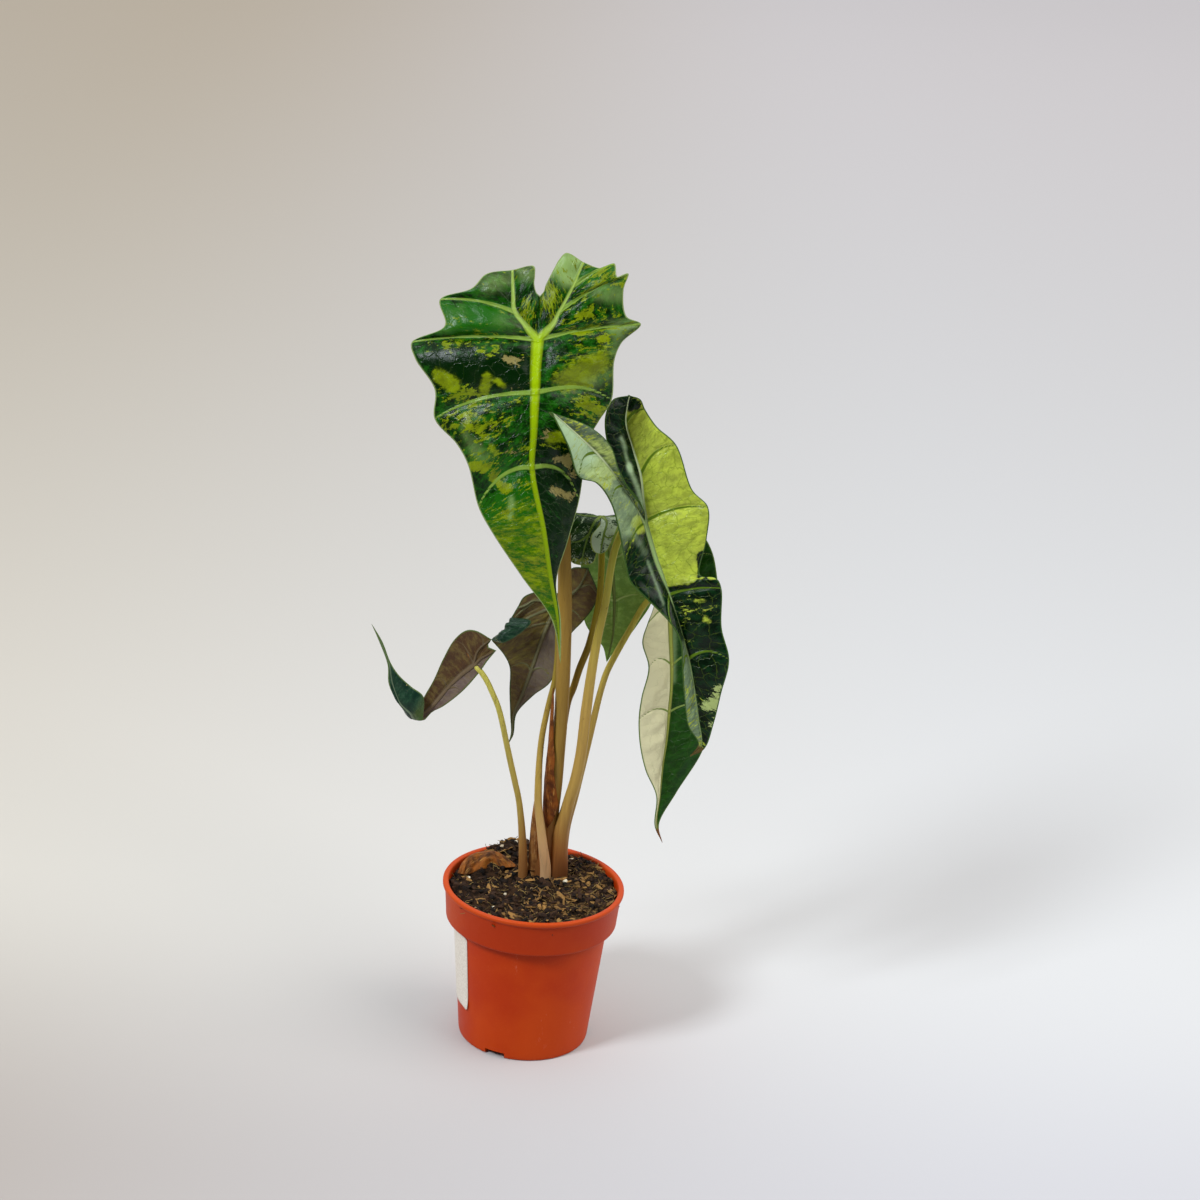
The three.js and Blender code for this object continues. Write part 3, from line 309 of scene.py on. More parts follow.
step = POT_HEIGHT - COLLAR_HEIGHT
collar_top = RIM_RADIUS - LIP_BEAD
pot_profile = rounded([
    (0, 0), (BASE_RADIUS - 0.2, 0), (BASE_RADIUS + 0.1, 1.2),
    (BODY_TOP_RADIUS - 0.1, step - 1.6), (BODY_TOP_RADIUS - 0.15, step - 0.6),
    (COLLAR_BOTTOM_RADIUS, step - 0.55), (COLLAR_BOTTOM_RADIUS + 0.1, step + 1.4),
    (collar_top, POT_HEIGHT - 1.7), (RIM_RADIUS, POT_HEIGHT - 1.3),
    (RIM_RADIUS, POT_HEIGHT), (collar_top - POT_WALL, POT_HEIGHT),
    (COLLAR_BOTTOM_RADIUS - POT_WALL, step + 1), (BODY_TOP_RADIUS - POT_WALL, step - 0.4),
    (BASE_RADIUS - POT_WALL, POT_WALL), (0, POT_WALL),
], POT_CORNER)
points = [(0, 0, pot_profile[0][1])]
for radius, height in pot_profile[1:-1]:
    points += ring(radius, height, POT_SIDES)
points.append((0, 0, pot_profile[-1][1]))

pot_plastic, tree, shader = new_material("pot_plastic", Roughness=0.45, Specular_IOR_Level=0.14)
place = object_place(tree)
height = along_axis(tree, place, "Z")
cloud = noise(tree, place, 28, detail=3)
grain = noise(tree, place, 900, detail=4, roughness=0.7)
colour = mixed(tree, between(tree, cloud, 0.35, 0.65), POT_DEEP_ORANGE, POT_ORANGE)
colour = mixed(tree, between(tree, grain, 0.5, 0.8, 0, 0.2), colour, POT_GRAIN)
# Painted highlight: the top band of the lip is painted lighter, as if it caught the light.
lip_highlight = between(tree, height, *(edge * MM for edge in POT_LIP_EDGE), 0, 0.6)
colour = mixed(tree, lip_highlight, colour, POT_LIP_HIGHLIGHT)
# Painted shade: darker from just under the collar's step upwards, over the whole collar.
collar_shade = between(tree, height, *((step - down) * MM for down in POT_STEP_SHADE), 0, 0.25)
colour = mixed(tree, collar_shade, colour, POT_COLLAR_SHADE)
rubbing = noise(tree, stretched(tree, place, (1, 1, 0.35)), 260, detail=6, roughness=0.8)
where_rubbed = between(tree, noise(tree, place, 55, detail=2), 0.55, 0.68, 0, 0.35)
colour = mixed(tree, times(tree, between(tree, rubbing, 0.62, 0.72), where_rubbed), colour, POT_SCUFF)
rough = between(tree, cloud, 0.3, 0.7, 0.4, 0.52)
finish_shader(tree, shader, Base_Color=colour, Roughness=rough, Normal=dented(tree, grain, 0.12, 0.0004))

pot = make_piece("pot_shell", points, ring_faces(len(points), POT_SIDES, flipped=True), [pot_plastic])
for i in range(DRAIN_COUNT):
    bpy.ops.mesh.primitive_cube_add(size=1)
    cutter = bpy.context.object
    turn = Matrix.Rotation(DRAIN_FIRST_ANGLE + 2 * pi * i / DRAIN_COUNT, 4, "Z")
    move = Matrix.Translation(Vector((BASE_RADIUS - DRAIN_INSET, 0, 0)) * MM)
    size = Matrix.Diagonal((DRAIN_DEPTH * MM, DRAIN_WIDTH * MM, 2 * DRAIN_HEIGHT * MM, 1))
    cutter.data.transform(turn @ move @ size)
    cut = pot.modifiers.new("notch", "BOOLEAN")
    cut.operation = "DIFFERENCE"
    cut.object = cutter
    bpy.context.view_layer.objects.active = pot
    bpy.ops.object.modifier_apply(modifier=cut.name)
    bpy.data.objects.remove(cutter)
pot.data.shade_smooth()
pot.data.set_sharp_from_angle(angle=POT_SHARP_ANGLE)
stand_for(pot, "pot")

# Sticker. A blank cream paper label with rounded corners, glued round the pot's left side; its
# lower corner has begun to lift. It carries only a faint smudge.
LABEL_LOW = 13
LABEL_HIGH = 40
LABEL_FROM = 3.8
LABEL_SWEEP = 1.25
LABEL_THICKNESS = 0.18
LABEL_CORNER = 0.9
LABEL_OFF_WALL = 0.09
LABEL_CORNER_LIFT = 0.5
LABEL_LIFT_ALONG = 0.004
LABEL_LIFT_UP = 0.01
LABEL_COLUMNS = 64
LABEL_ROWS = 48
LABEL_CREAM = (234, 226, 214)
LABEL_FIBRE = (216, 206, 192)
LABEL_SMUDGE = (172, 156, 146)


def pot_wall_radius(height):
    """Outside radius of the pot's wall."""
    low = BASE_RADIUS + (BODY_TOP_RADIUS - BASE_RADIUS) * height / step
    high = COLLAR_BOTTOM_RADIUS + (collar_top - COLLAR_BOTTOM_RADIUS) * (height - step) / COLLAR_HEIGHT
    return np.where(height <= step, low, high)


def closed_sheet(top_points, under_points, rows, columns):
    """Points and faces of a closed thin sheet from two grids of points that lie face to face."""
    count = rows * columns
    at = np.arange(count).reshape(rows, columns)
    upper = np.stack([at[:-1, :-1], at[:-1, 1:], at[1:, 1:], at[1:, :-1]], -1).reshape(-1, 4)
    rim = np.concatenate([at[0, :], at[1:, -1], at[-1, -2::-1], at[-2:0:-1, 0]])
    after = np.roll(rim, -1)
    sides = np.stack([after, rim, rim + count, after + count], -1)
    return np.vstack([top_points, under_points]), np.vstack([upper, upper[:, ::-1] + count, sides])


label_width = LABEL_SWEEP * pot_wall_radius((LABEL_LOW + LABEL_HIGH) / 2)
across, upwards = np.meshgrid(np.linspace(0, 1, LABEL_COLUMNS), np.linspace(0, 1, LABEL_ROWS))
into_corner = np.maximum(LABEL_CORNER - np.minimum(upwards, 1 - upwards) * (LABEL_HIGH - LABEL_LOW), 0)
pull = LABEL_CORNER - np.sqrt(LABEL_CORNER ** 2 - into_corner ** 2)
across = (across - 0.5) * (1 - 2 * pull / label_width) + 0.5
height = LABEL_LOW + upwards * (LABEL_HIGH - LABEL_LOW)
angle = LABEL_FROM - LABEL_SWEEP * (1 - across)
from_corner = (across - 1) ** 2 / LABEL_LIFT_ALONG + upwards ** 2 / LABEL_LIFT_UP
lift = LABEL_OFF_WALL + LABEL_CORNER_LIFT * np.exp(-from_corner)
skins = []
for thickness in (LABEL_THICKNESS, 0):
    radius = pot_wall_radius(height) + lift + thickness
    skins.append(np.stack([radius * np.cos(angle), radius * np.sin(angle), height], -1).reshape(-1, 3))

label_paper, tree, shader = new_material("label_paper", Roughness=0.75)
place = object_place(tree)
streaks = noise(tree, stretched(tree, place, (1, 1, 2)), 420, detail=5)
where_smudged = between(tree, noise(tree, place, 60, detail=1), 0.5, 0.62, 0, 0.3)
fibre = noise(tree, place, 1500, detail=3)
colour = mixed(tree, between(tree, fibre, 0.3, 0.7), LABEL_FIBRE, LABEL_CREAM)
colour = mixed(tree, times(tree, between(tree, streaks, 0.55, 0.7), where_smudged), colour, LABEL_SMUDGE)
finish_shader(tree, shader, Base_Color=colour, Normal=dented(tree, fibre, 0.15, 0.0003))
label = make_piece("label_sheet", *closed_sheet(*skins, LABEL_ROWS, LABEL_COLUMNS), [label_paper])
stand_for(label, "label")

# Corm with its roots. The brown swollen foot that all the leaves grow from, hidden in the mix; it
# is the CAD node itself with a fibrous bark.
CORM_DARK = (58, 36, 20)
CORM_PALE = (134, 98, 60)

corm_bark, tree, shader = new_material("corm_bark", Roughness=0.85)
rings = noise(tree, stretched(tree, object_place(tree), (1, 1, 6)), 120, detail=4, roughness=0.7)
finish_shader(tree, shader, Base_Color=mixed(tree, rings, CORM_DARK, CORM_PALE),
              Normal=dented(tree, rings, 0.6, 0.0008))
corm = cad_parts["corm"]
corm.data.materials.clear()
corm.data.materials.append(corm_bark)

# Potting mix. Dark peat and bark that fills the pot, mounded round the stems and banked up at the
# back left. Its top is crumbled, with bark chips, clods, fibres and pale mineral grains lying in it.
SOIL_LEVEL = 52.6
SOIL_FLOOR_GAP = 0.45
SOIL_EDGE_GAP = 0.2
SOIL_EDGE_DROP = 0.8
SOIL_EDGE_SHARE = 0.05
SOIL_TOP = (3, 9)
SOIL_HEAPS = ((3.2, *SOIL_TOP, 160), (4.2, -9, 23, 90), (0.9, 14, 20, 80))
SOIL_CLODS = ((2.6, 4.6, 3), (1.6, 2.1, 4), (0.8, 0.9, 5))
SOIL_WALL = ((26.3, step + 2), (24, step - 1), (20, POT_WALL + 2.2))
SOIL_FLOOR_RADIUS = 18.8
SOIL_SIDES = 240
SOIL_RINGS = 56
PEAT_DARK = (14, 9, 6)
PEAT_BROWN = (54, 36, 22)
PEAT_DRY = (78, 54, 34)
CHAFF = (122, 94, 50)
STREWN_INPUTS = {"Geometry": "Geometry", "Density": "Float", "Seed": "Int", "Size": "Float",
                 "Least": "Vector", "Most": "Vector", "Raggedness": "Float", "Lean": "Float",
                 "Material": "Material"}
STREWN_TILT = 0.6
CRUMB_NOISE = 900.0
FIBRE_NOISE = 220.0
FIBRE_RADIUS = 0.09
FIBRE_POINTS = 9


def lumps(x, y, size, seed):
    """Smooth random heights from 0 to 1, with about one lump in every `size` of the surface."""
    table = np.random.default_rng(seed).random((64, 64))
    column, row = np.asarray(x) / size + 640, np.asarray(y) / size + 640
    i, j = np.floor(column).astype(int), np.floor(row).astype(int)
    u, v = column - i, row - j
    u, v = u * u * (3 - 2 * u), v * v * (3 - 2 * v)
    near = table[i % 64, j % 64] * (1 - u) + table[(i + 1) % 64, j % 64] * u
    far = table[i % 64, (j + 1) % 64] * (1 - u) + table[(i + 1) % 64, (j + 1) % 64] * u
    return near * (1 - v) + far * v


def soil_height(x, y):
    """Height of the mix: heaps (height, x, y, spread) and clods (height, size, seed) on its level."""
    height = SOIL_LEVEL
    for tall, heap_x, heap_y, spread in SOIL_HEAPS:
        height = height + tall * np.exp(-((x - heap_x) ** 2 + (y - heap_y) ** 2) / spread)
    return float(height + sum(tall * (lumps(x, y, size, seed) - 0.5) for tall, size, seed in SOIL_CLODS))


def new_tree(kind, name, inputs, outputs):
    """A node tree with named inputs and outputs of the given kinds; returns it with its inputs."""
    tree = bpy.data.node_groups.new(name, kind)
    for direction, sockets in (("INPUT", inputs), ("OUTPUT", outputs)):
        for word, socket in sockets.items():
            tree.interface.new_socket(word, in_out=direction, socket_type="NodeSocket" + socket)
    return tree, tree.nodes.new("NodeGroupInput").outputs


def end_tree(tree, geometry, material):
    """Makes the copies real and gives them their material."""
    real = add_node(tree, "GeometryNodeRealizeInstances", {"Geometry": geometry}).outputs[0]
    painted = add_node(tree, "GeometryNodeSetMaterial", {"Geometry": real, "Material": material}).outputs[0]
    add_node(tree, "NodeGroupOutput", {"Geometry": painted})


def scaled(tree, vector, share):
    """A vector made longer or shorter."""
    return add_node(tree, "ShaderNodeVectorMath", {0: vector, "Scale": share}, operation="SCALE").outputs[0]


def summed(tree, first, second):
    """The total of two vectors."""
    return add_node(tree, "ShaderNodeVectorMath", {0: first, 1: second}, operation="ADD").outputs[0]


def chosen(tree, least, most, seed):
    """A random vector between two others, another one for every copy."""
    inputs = {0: least, 1: most, 8: seed}
    return add_node(tree, "FunctionNodeRandomValue", inputs, data_type="FLOAT_VECTOR").outputs[0]


def strewn(tree, given, instance):
    """Copies of a geometry strewn over the ground, each turned, sized and given a tint of its own.
    `Lean` makes them denser towards the right, +X, and thinner towards the left."""
    place = add_node(tree, "GeometryNodeInputPosition").outputs[0]
    rightwards = worked_out(tree, "DIVIDE", along_axis(tree, place, "X"), RIM_RADIUS * MM)
    density = times(tree, given["Density"], plus(tree, times(tree, rightwards, given["Lean"]), 1.0))
    spots = add_node(tree, "GeometryNodeDistributePointsOnFaces", {
        "Mesh": given["Geometry"], "Density": density, "Seed": given["Seed"]}).outputs[0]
    turn = chosen(tree, (-STREWN_TILT, -STREWN_TILT, 0), (STREWN_TILT, STREWN_TILT, 2 * pi), given["Seed"])
    size = scaled(tree, chosen(tree, given["Least"], given["Most"], given["Seed"]), given["Size"])
    copies = add_node(tree, "GeometryNodeInstanceOnPoints", {
        "Points": spots, "Instance": instance, "Rotation": turn, "Scale": size}).outputs[0]
    tint = add_node(tree, "FunctionNodeRandomValue", {2: 0.0, 3: 1.0, 8: given["Seed"]},
                    data_type="FLOAT").outputs[1]
    copies = add_node(tree, "GeometryNodeStoreNamedAttribute", {
        "Geometry": copies, "Name": "tint", "Value": tint}, data_type="FLOAT", domain="INSTANCE").outputs[0]
    return add_node(tree, "GeometryNodeRealizeInstances", {"Geometry": copies}).outputs[0]


def roughened(tree, geometry, scale, amount):
    """Every point pushed aside by noise, so that no two copies are alike."""
    place = add_node(tree, "GeometryNodeInputPosition").outputs[0]
    cloud = add_node(tree, "ShaderNodeTexNoise", {"Vector": place, "Scale": scale, "Detail": 3.0})
    centred = add_node(tree, "ShaderNodeVectorMath", {0: cloud.outputs["Color"], 1: (0.5, 0.5, 0.5)},
                       operation="SUBTRACT").outputs[0]
    inputs = {"Geometry": geometry, "Offset": scaled(tree, centred, amount)}
    return add_node(tree, "GeometryNodeSetPosition", inputs).outputs[0]


def strew(name, tree, material, **inputs):
    """A plain mesh of what the tree strews over the soil."""
    bed = bpy.data.objects.new(name + "_bed", soil_top.data)
    bpy.context.scene.collection.objects.link(bed)
    scatter = bed.modifiers.new("strewn", "NODES")
    scatter.node_group = tree
    values = {"Material": material, **inputs}
    for item in tree.interface.items_tree:
        if item.name in values:
            scatter[item.identifier] = values[item.name]
    bpy.context.view_layer.update()
    depsgraph = bpy.context.evaluated_depsgraph_get()
    mesh = bpy.data.meshes.new_from_object(bed.evaluated_get(depsgraph), depsgraph=depsgraph)
    bpy.data.objects.remove(bed)
    piece = bpy.data.objects.new(name, mesh)
    bpy.context.scene.collection.objects.link(piece)
    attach(piece, "root")


def field(tree, name):
    """A number that the mesh carries on its points."""
    return add_node(tree, "ShaderNodeAttribute", attribute_name=name).outputs["Fac"]


def bit_material(name, dark, pale, scale):
    """The finish of loose bits, each between a dark and a pale colour by its own tint."""
    material, tree, shader = new_material(name, Roughness=0.85, Specular_IOR_Level=0.25)
    speck = noise(tree, object_place(tree), scale, detail=4, roughness=0.7)
    colour = mixed(tree, between(tree, plus(tree, field(tree, "tint"), speck), 0.5, 1.5), dark, pale)
    finish_shader(tree, shader, Base_Color=colour, Normal=dented(tree, speck, 0.5, 0.0005))
    return material


soil_radius = float(pot_wall_radius(SOIL_LEVEL)) - POT_WALL - SOIL_EDGE_GAP
points = [(*SOIL_TOP, soil_height(*SOIL_TOP))]
for i in range(1, SOIL_RINGS + 1):
    share = i / SOIL_RINGS
    drop = SOIL_EDGE_DROP * max(0, share - 1 + SOIL_EDGE_SHARE) / SOIL_EDGE_SHARE
    for circle_x, circle_y, _ in ring(soil_radius * share, 0, SOIL_SIDES):
        x = circle_x + (1 - share) * SOIL_TOP[0]
        y = circle_y + (1 - share) * SOIL_TOP[1]
        points.append((x, y, soil_height(x, y) - drop))
top_count = len(points)
soil_floor = POT_WALL + SOIL_FLOOR_GAP
for radius, height in (*SOIL_WALL, (SOIL_FLOOR_RADIUS, soil_floor)):
    points += ring(radius, height, SOIL_SIDES)
points.append((0, 0, soil_floor))
faces = ring_faces(len(points), SOIL_SIDES)

soil_dirt, tree, shader = new_material("soil_dirt", Roughness=0.95, Specular_IOR_Level=0.15)
place = object_place(tree)
crumbs = noise(tree, place, 700, detail=6, roughness=0.7)
patches = noise(tree, place, 110, detail=3)
colour = mixed(tree, between(tree, crumbs, 0.38, 0.66), PEAT_DARK, PEAT_BROWN)
colour = mixed(tree, between(tree, patches, 0.5, 0.7, 0, 0.5), colour, PEAT_DRY)
rightwards = between(tree, along_axis(tree, place, "X"), -4 * MM, 18 * MM, 0, 0.6)
colour = mixed(tree, times(tree, rightwards, between(tree, crumbs, 0.5, 0.62)), colour, CHAFF)
finish_shader(tree, shader, Base_Color=colour, Normal=dented(tree, crumbs, 0.9, 0.0012))
soil = make_piece("soil_bed", points, faces, [soil_dirt])
stand_for(soil, "soil")

top_faces = [face for face in faces if max(face) < top_count]
soil_top = make_piece("soil_top", points[:top_count], top_faces, [soil_dirt])
bits_tree, given = new_tree("GeometryNodeTree", "strewn_bits", STREWN_INPUTS, {"Geometry": "Geometry"})
bit = add_node(bits_tree, "GeometryNodeMeshIcoSphere", {"Radius": 1.0, "Subdivisions": 2}).outputs[0]
bits = roughened(bits_tree, strewn(bits_tree, given, bit), CRUMB_NOISE, given["Raggedness"])
end_tree(bits_tree, bits, given["Material"])

fibres_tree, given = new_tree("GeometryNodeTree", "strewn_fibres", STREWN_INPUTS, {"Geometry": "Geometry"})
line = add_node(fibres_tree, "GeometryNodeCurvePrimitiveLine", {
    "Start": (-0.5, 0, 0), "End": (0.5, 0, 0)}).outputs[0]
line = add_node(fibres_tree, "GeometryNodeResampleCurve", {"Curve": line, "Count": FIBRE_POINTS}).outputs[0]
fibres = roughened(fibres_tree, strewn(fibres_tree, given, line), FIBRE_NOISE, given["Raggedness"])
section = add_node(fibres_tree, "GeometryNodeCurvePrimitiveCircle", {
    "Radius": FIBRE_RADIUS * MM, "Resolution": 4}).outputs[0]
tubes = add_node(fibres_tree, "GeometryNodeCurveToMesh", {
    "Curve": fibres, "Profile Curve": section, "Fill Caps": True}).outputs[0]
end_tree(fibres_tree, tubes, given["Material"])

strew("soil_clods", bits_tree, bit_material("clods", (13, 8, 5), (62, 40, 24), 900),
      Density=240000.0, Seed=11, Size=1.1 * MM, Least=(0.5, 0.4, 0.25), Most=(1.5, 1.0, 0.7),
      Raggedness=1.5 * MM, Lean=0.0)
strew("bark_chips", bits_tree, bit_material("bark", (36, 21, 10), (158, 118, 64), 900),
      Density=110000.0, Seed=12, Size=1.25 * MM, Least=(0.6, 0.25, 0.08), Most=(2.4, 0.8, 0.3),
      Raggedness=1.0 * MM, Lean=0.8)
strew("pale_grains", bits_tree, bit_material("grains", (150, 122, 84), (240, 230, 204), 500),
      Density=6500.0, Seed=13, Size=0.9 * MM, Least=(0.5, 0.4, 0.3), Most=(1.3, 0.9, 0.7),
      Raggedness=0.6 * MM, Lean=0.3)
strew("plant_fibres", fibres_tree, bit_material("fibres", (44, 29, 12), (160, 132, 76), 400),
      Density=170000.0, Seed=14, Size=3.8 * MM, Least=(0.4, 1, 1), Most=(1.6, 1, 1),
      Raggedness=5.0 * MM, Lean=0.5)
bpy.data.objects.remove(soil_top)

# Dry leaf pieces. The withered base of an old leaf that wraps the foot of the stems, a dead brown
# sheath that stands up along the thickest stem, and a curled scrap of dead leaf that lies on the mix.
STRIP_THICKNESS = 0.3
STRIP_COLUMNS = 25
STRIP_FOLDS = 2.6
ROW_STEPS = 16
MAP_UNIT = 10
MERGED_WITHIN = 1 / 500
STRIP_COLOURS = {
    "dry_sheath": ((76, 34, 4), (134, 72, 14), (176, 122, 58)),
    "old_leaf_base": ((120, 72, 32), (168, 116, 60), (204, 162, 110)),
    "leaf_scrap": ((66, 34, 8), (146, 82, 20), (184, 132, 60)),
}
STRIPS = {
    "dry_sheath": dict(
        low=[3, 5.6, 72.5],
        rows=[
            [[1.6, 6.4, 76], [4.6, 5, 76]],
            [[1, 7, 81], [6, 4.7, 81]],
            [[0.9, 7.2, 87], [5, 4.4, 87]],
            [[0.9, 7, 93], [3.9, 3.8, 93]],
            [[1.1, 6.4, 99], [3.6, 3.6, 99]],
            [[1.2, 5.7, 105], [2.8, 3.7, 105]],
            [[1.2, 5.3, 112], [2.3, 3.4, 112]],
            [[1.3, 4.8, 118], [2, 3.5, 118]],
        ],
        high=[1.4, 4, 123.5], bulge=-0.2, crumple=0.5, seed=21),
    "old_leaf_base": dict(
        low=[0, 6.6, 50],
        rows=[
            [[-2, 6.9, 53], [0.4, 6.6, 53]],
            [[-2.3, 6.8, 60], [0.4, 6.4, 60]],
            [[-2.5, 6.6, 67], [0.2, 6.2, 67]],
            [[-2.4, 6.5, 74], [-0.6, 6.2, 74]],
            [[-2.1, 6.5, 80], [-1.1, 6.5, 80]],
        ],
        high=[-1.7, 6.9, 85], bulge=-0.12, crumple=0.3, seed=23),
    "leaf_scrap": dict(
        low=[-25.5, 3, 54.6],
        rows=[
            [[-24, 9, 56.2], [-22.5, 4, 53.9]],
            [[-20.5, 14, 57], [-18.5, 8, 53.9]],
            [[-15.5, 16.5, 57.2], [-14, 10, 54.3]],
            [[-10.5, 14, 56.8], [-10, 9.8, 54.8]],
        ],
        high=[-6, 9.6, 55.6], bulge=-0.22, crumple=2.0, seed=25),
}


def surface_map(tree):
    """The place on the piece's own flat map."""
    return add_node(tree, "ShaderNodeUVMap", uv_map="surface").outputs[0]


def smooth_line(points, steps):
    """A smooth line through given points, with `steps` pieces between each two of them."""
    points = np.asarray(points, float)
    padded = np.vstack([2 * points[0] - points[1], points, 2 * points[-1] - points[-2]])
    line = []
    for p0, p1, p2, p3 in zip(padded, padded[1:], padded[2:], padded[3:]):
        d0, d1, d2 = (np.sqrt(np.linalg.norm(b - a)) for a, b in ((p0, p1), (p1, p2), (p2, p3)))
        d1 = d1 if d1 > 1e-4 else 1
        d0 = d0 if d0 > 1e-4 else d1
        d2 = d2 if d2 > 1e-4 else d1
        leave = ((p1 - p0) / d0 - (p2 - p0) / (d0 + d1) + (p2 - p1) / d1) * d1
        arrive = ((p2 - p1) / d1 - (p3 - p1) / (d1 + d2) + (p3 - p2) / d2) * d1
        for t in np.arange(steps) / steps:
            line.append((2 * t ** 3 - 3 * t ** 2 + 1) * p1 + (t ** 3 - 2 * t ** 2 + t) * leave
                        + (3 * t ** 2 - 2 * t ** 3) * p2 + (t ** 3 - t ** 2) * arrive)
    line.append(points[-1])
    return np.array(line)


def unit(vectors):
    """The same directions with a length of one."""
    return vectors / np.maximum(np.linalg.norm(vectors, axis=-1, keepdims=True), 1e-9)


def merged_grids(grids):
    """The points of all grids with those that meet made one, which of these each point becomes, and
    the triangles as corners of the grids, without those that have shrunk to a line."""
    points = np.vstack([grid["points"].reshape(-1, 3) for grid in grids])
    _, first, merged = np.unique((points / MERGED_WITHIN).round().astype(int), axis=0,
                                 return_index=True, return_inverse=True)
    merged = merged.ravel()
    corners = []
    start = 0
    for grid in grids:
        rows, columns = grid["points"].shape[:2]
        at = start + np.arange(rows * columns).reshape(rows, columns)
        start += rows * columns
        a, b, c, d = (part.ravel() for part in (at[:-1, :-1], at[1:, :-1], at[1:, 1:], at[:-1, 1:]))
        both = np.vstack([np.stack([a, b, c], -1), np.stack([a, c, d], -1)])
        corners.append(both[:, ::-1] if grid["turned"] else both)
    corners = np.vstack(corners)
    faces = merged[corners]
    whole = (faces[:, 0] != faces[:, 1]) & (faces[:, 1] != faces[:, 2]) & (faces[:, 2] != faces[:, 0])
    return points[first], merged, corners[whole]


def outward(points, faces, edges, rounds):
    """The direction out of the surface at every point, evened out with its neighbours' in rounds."""
    slopes = np.cross(points[faces[:, 1]] - points[faces[:, 0]], points[faces[:, 2]] - points[faces[:, 0]])
    out = np.zeros_like(points)
    for k in range(3):
        np.add.at(out, faces[:, k], slopes)
    out = unit(out)
    for _ in range(rounds):
        total = out.copy()
        np.add.at(total, edges[:, 0], out[edges[:, 1]])
        np.add.at(total, edges[:, 1], out[edges[:, 0]])
        out = unit(total)
    return out


def skin_piece(name, grids, thickness, materials, smoothing):
    """A thin closed skin from grids that share their edges. A grid holds `points`, `numbers` on
    them, a `flat` map, and `turned` where its rows run clockwise as seen from the upper face. Of
    the numbers, `thickness` scales the skin, and `above` and `below` push its two faces out."""
    points, merged, corners = merged_grids(grids)
    count = len(points)
    faces = merged[corners]
    together = np.bincount(merged, minlength=count)
    numbers = {}
    for key in grids[0]["numbers"]:
        every = np.concatenate([grid["numbers"][key].ravel() for grid in grids])
        numbers[key] = np.bincount(merged, every, count) / together
    edges = np.vstack([faces[:, [0, 1]], faces[:, [1, 2]], faces[:, [2, 0]]])
    out = outward(points, faces, edges, smoothing)
    half = thickness * numbers.pop("thickness", np.ones(count))[:, None] / 2
    above = points + out * (half + numbers.pop("above", np.zeros(count))[:, None])
    below = points - out * (half + numbers.pop("below", np.zeros(count))[:, None])

    there, back = (edges[:, i].astype(np.int64) * count + edges[:, 1 - i] for i in (0, 1))
    rim = edges[~np.isin(there, back)]
    sides = np.vstack([np.stack([rim[:, 1], rim[:, 0], rim[:, 0] + count], -1),
                       np.stack([rim[:, 1], rim[:, 0] + count, rim[:, 1] + count], -1)])
    all_faces = np.vstack([faces, faces[:, [0, 2, 1]] + count, sides])
    flat = np.vstack([grid["flat"].reshape(-1, 2) for grid in grids])
    flat_of = np.zeros((count, 2))
    flat_of[merged] = flat
    flat_map = np.concatenate([flat[corners].reshape(-1, 2), flat[corners[:, [0, 2, 1]]].reshape(-1, 2),
                               flat_of[sides % count].reshape(-1, 2)])
    kinds = np.repeat([0, len(materials) - 1, 0], [len(faces), len(faces), len(sides)])
    values = {key: np.tile(value, 2) for key, value in numbers.items()}
    return make_piece(name, np.vstack([above, below]), all_faces, materials, kinds, values, flat_map)


def dry_strip(low, rows, high, bulge, crumple, seed):
    """A papery strip between two edges, as rows [left edge, right edge] from its foot to its top."""
    left, right = (smooth_line([low, *[row[i] for row in rows], high], ROW_STEPS) for i in (0, 1))
    across = right - left
    width = np.linalg.norm(across, axis=1)
    along = np.gradient(left, axis=0)
    up = unit(np.cross(along, across))
    t = np.linspace(0, 1, STRIP_COLUMNS)
    stages = np.linspace(0, len(rows) + 1, len(left))
    rise = np.interp(stages, [0, 1, len(rows), len(rows) + 1], [0, bulge, bulge, 0]) * width
    grid = left[:, None] + across[:, None] * t[None, :, None]
    grid = grid + up[:, None] * (rise[:, None] * 4 * t * (1 - t))[:, :, None]
    u = t[None, :] * width[:, None]
    v = np.repeat(np.cumsum(np.linalg.norm(along, axis=1))[:, None], len(t), 1)
    folds = (lumps(u, v, STRIP_FOLDS, seed) - 0.5) * crumple
    folds = folds + (lumps(u * 2, v * 0.6, STRIP_FOLDS / 2, seed + 1) - 0.5) * crumple * 0.5
    fade = np.minimum(1, width / 4)[:, None] * 4 * np.maximum(t * (1 - t), 0.06)
    grid = grid + up[:, None] * (folds * fade)[:, :, None]
    return {"points": grid, "numbers": {}, "flat": np.stack([u, v], -1) / MAP_UNIT, "turned": False}


def dry_material(name, dark, middle, pale):
    """Withered leaf, blotched and streaked along its length."""
    material, tree, shader = new_material(name, Roughness=0.7, Specular_IOR_Level=0.25)
    flat = surface_map(tree)
    veins = noise(tree, stretched(tree, flat, (14, 1.6, 1)), 1.4, detail=5, roughness=0.7)
    blotches = noise(tree, flat, 2.2, detail=4)
    colour = mixed(tree, between(tree, blotches, 0.35, 0.62), dark, middle)
    colour = mixed(tree, between(tree, veins, 0.52, 0.72), colour, pale)
    finish_shader(tree, shader, Base_Color=colour, Normal=dented(tree, veins, 0.5, 0.0004))
    return material


for name, strip in STRIPS.items():
    material = dry_material(name + "_paper", *STRIP_COLOURS[name])
    piece = skin_piece(name + "_strip", [dry_strip(**strip)], STRIP_THICKNESS, [material], smoothing=3)
    stand_for(piece, name)

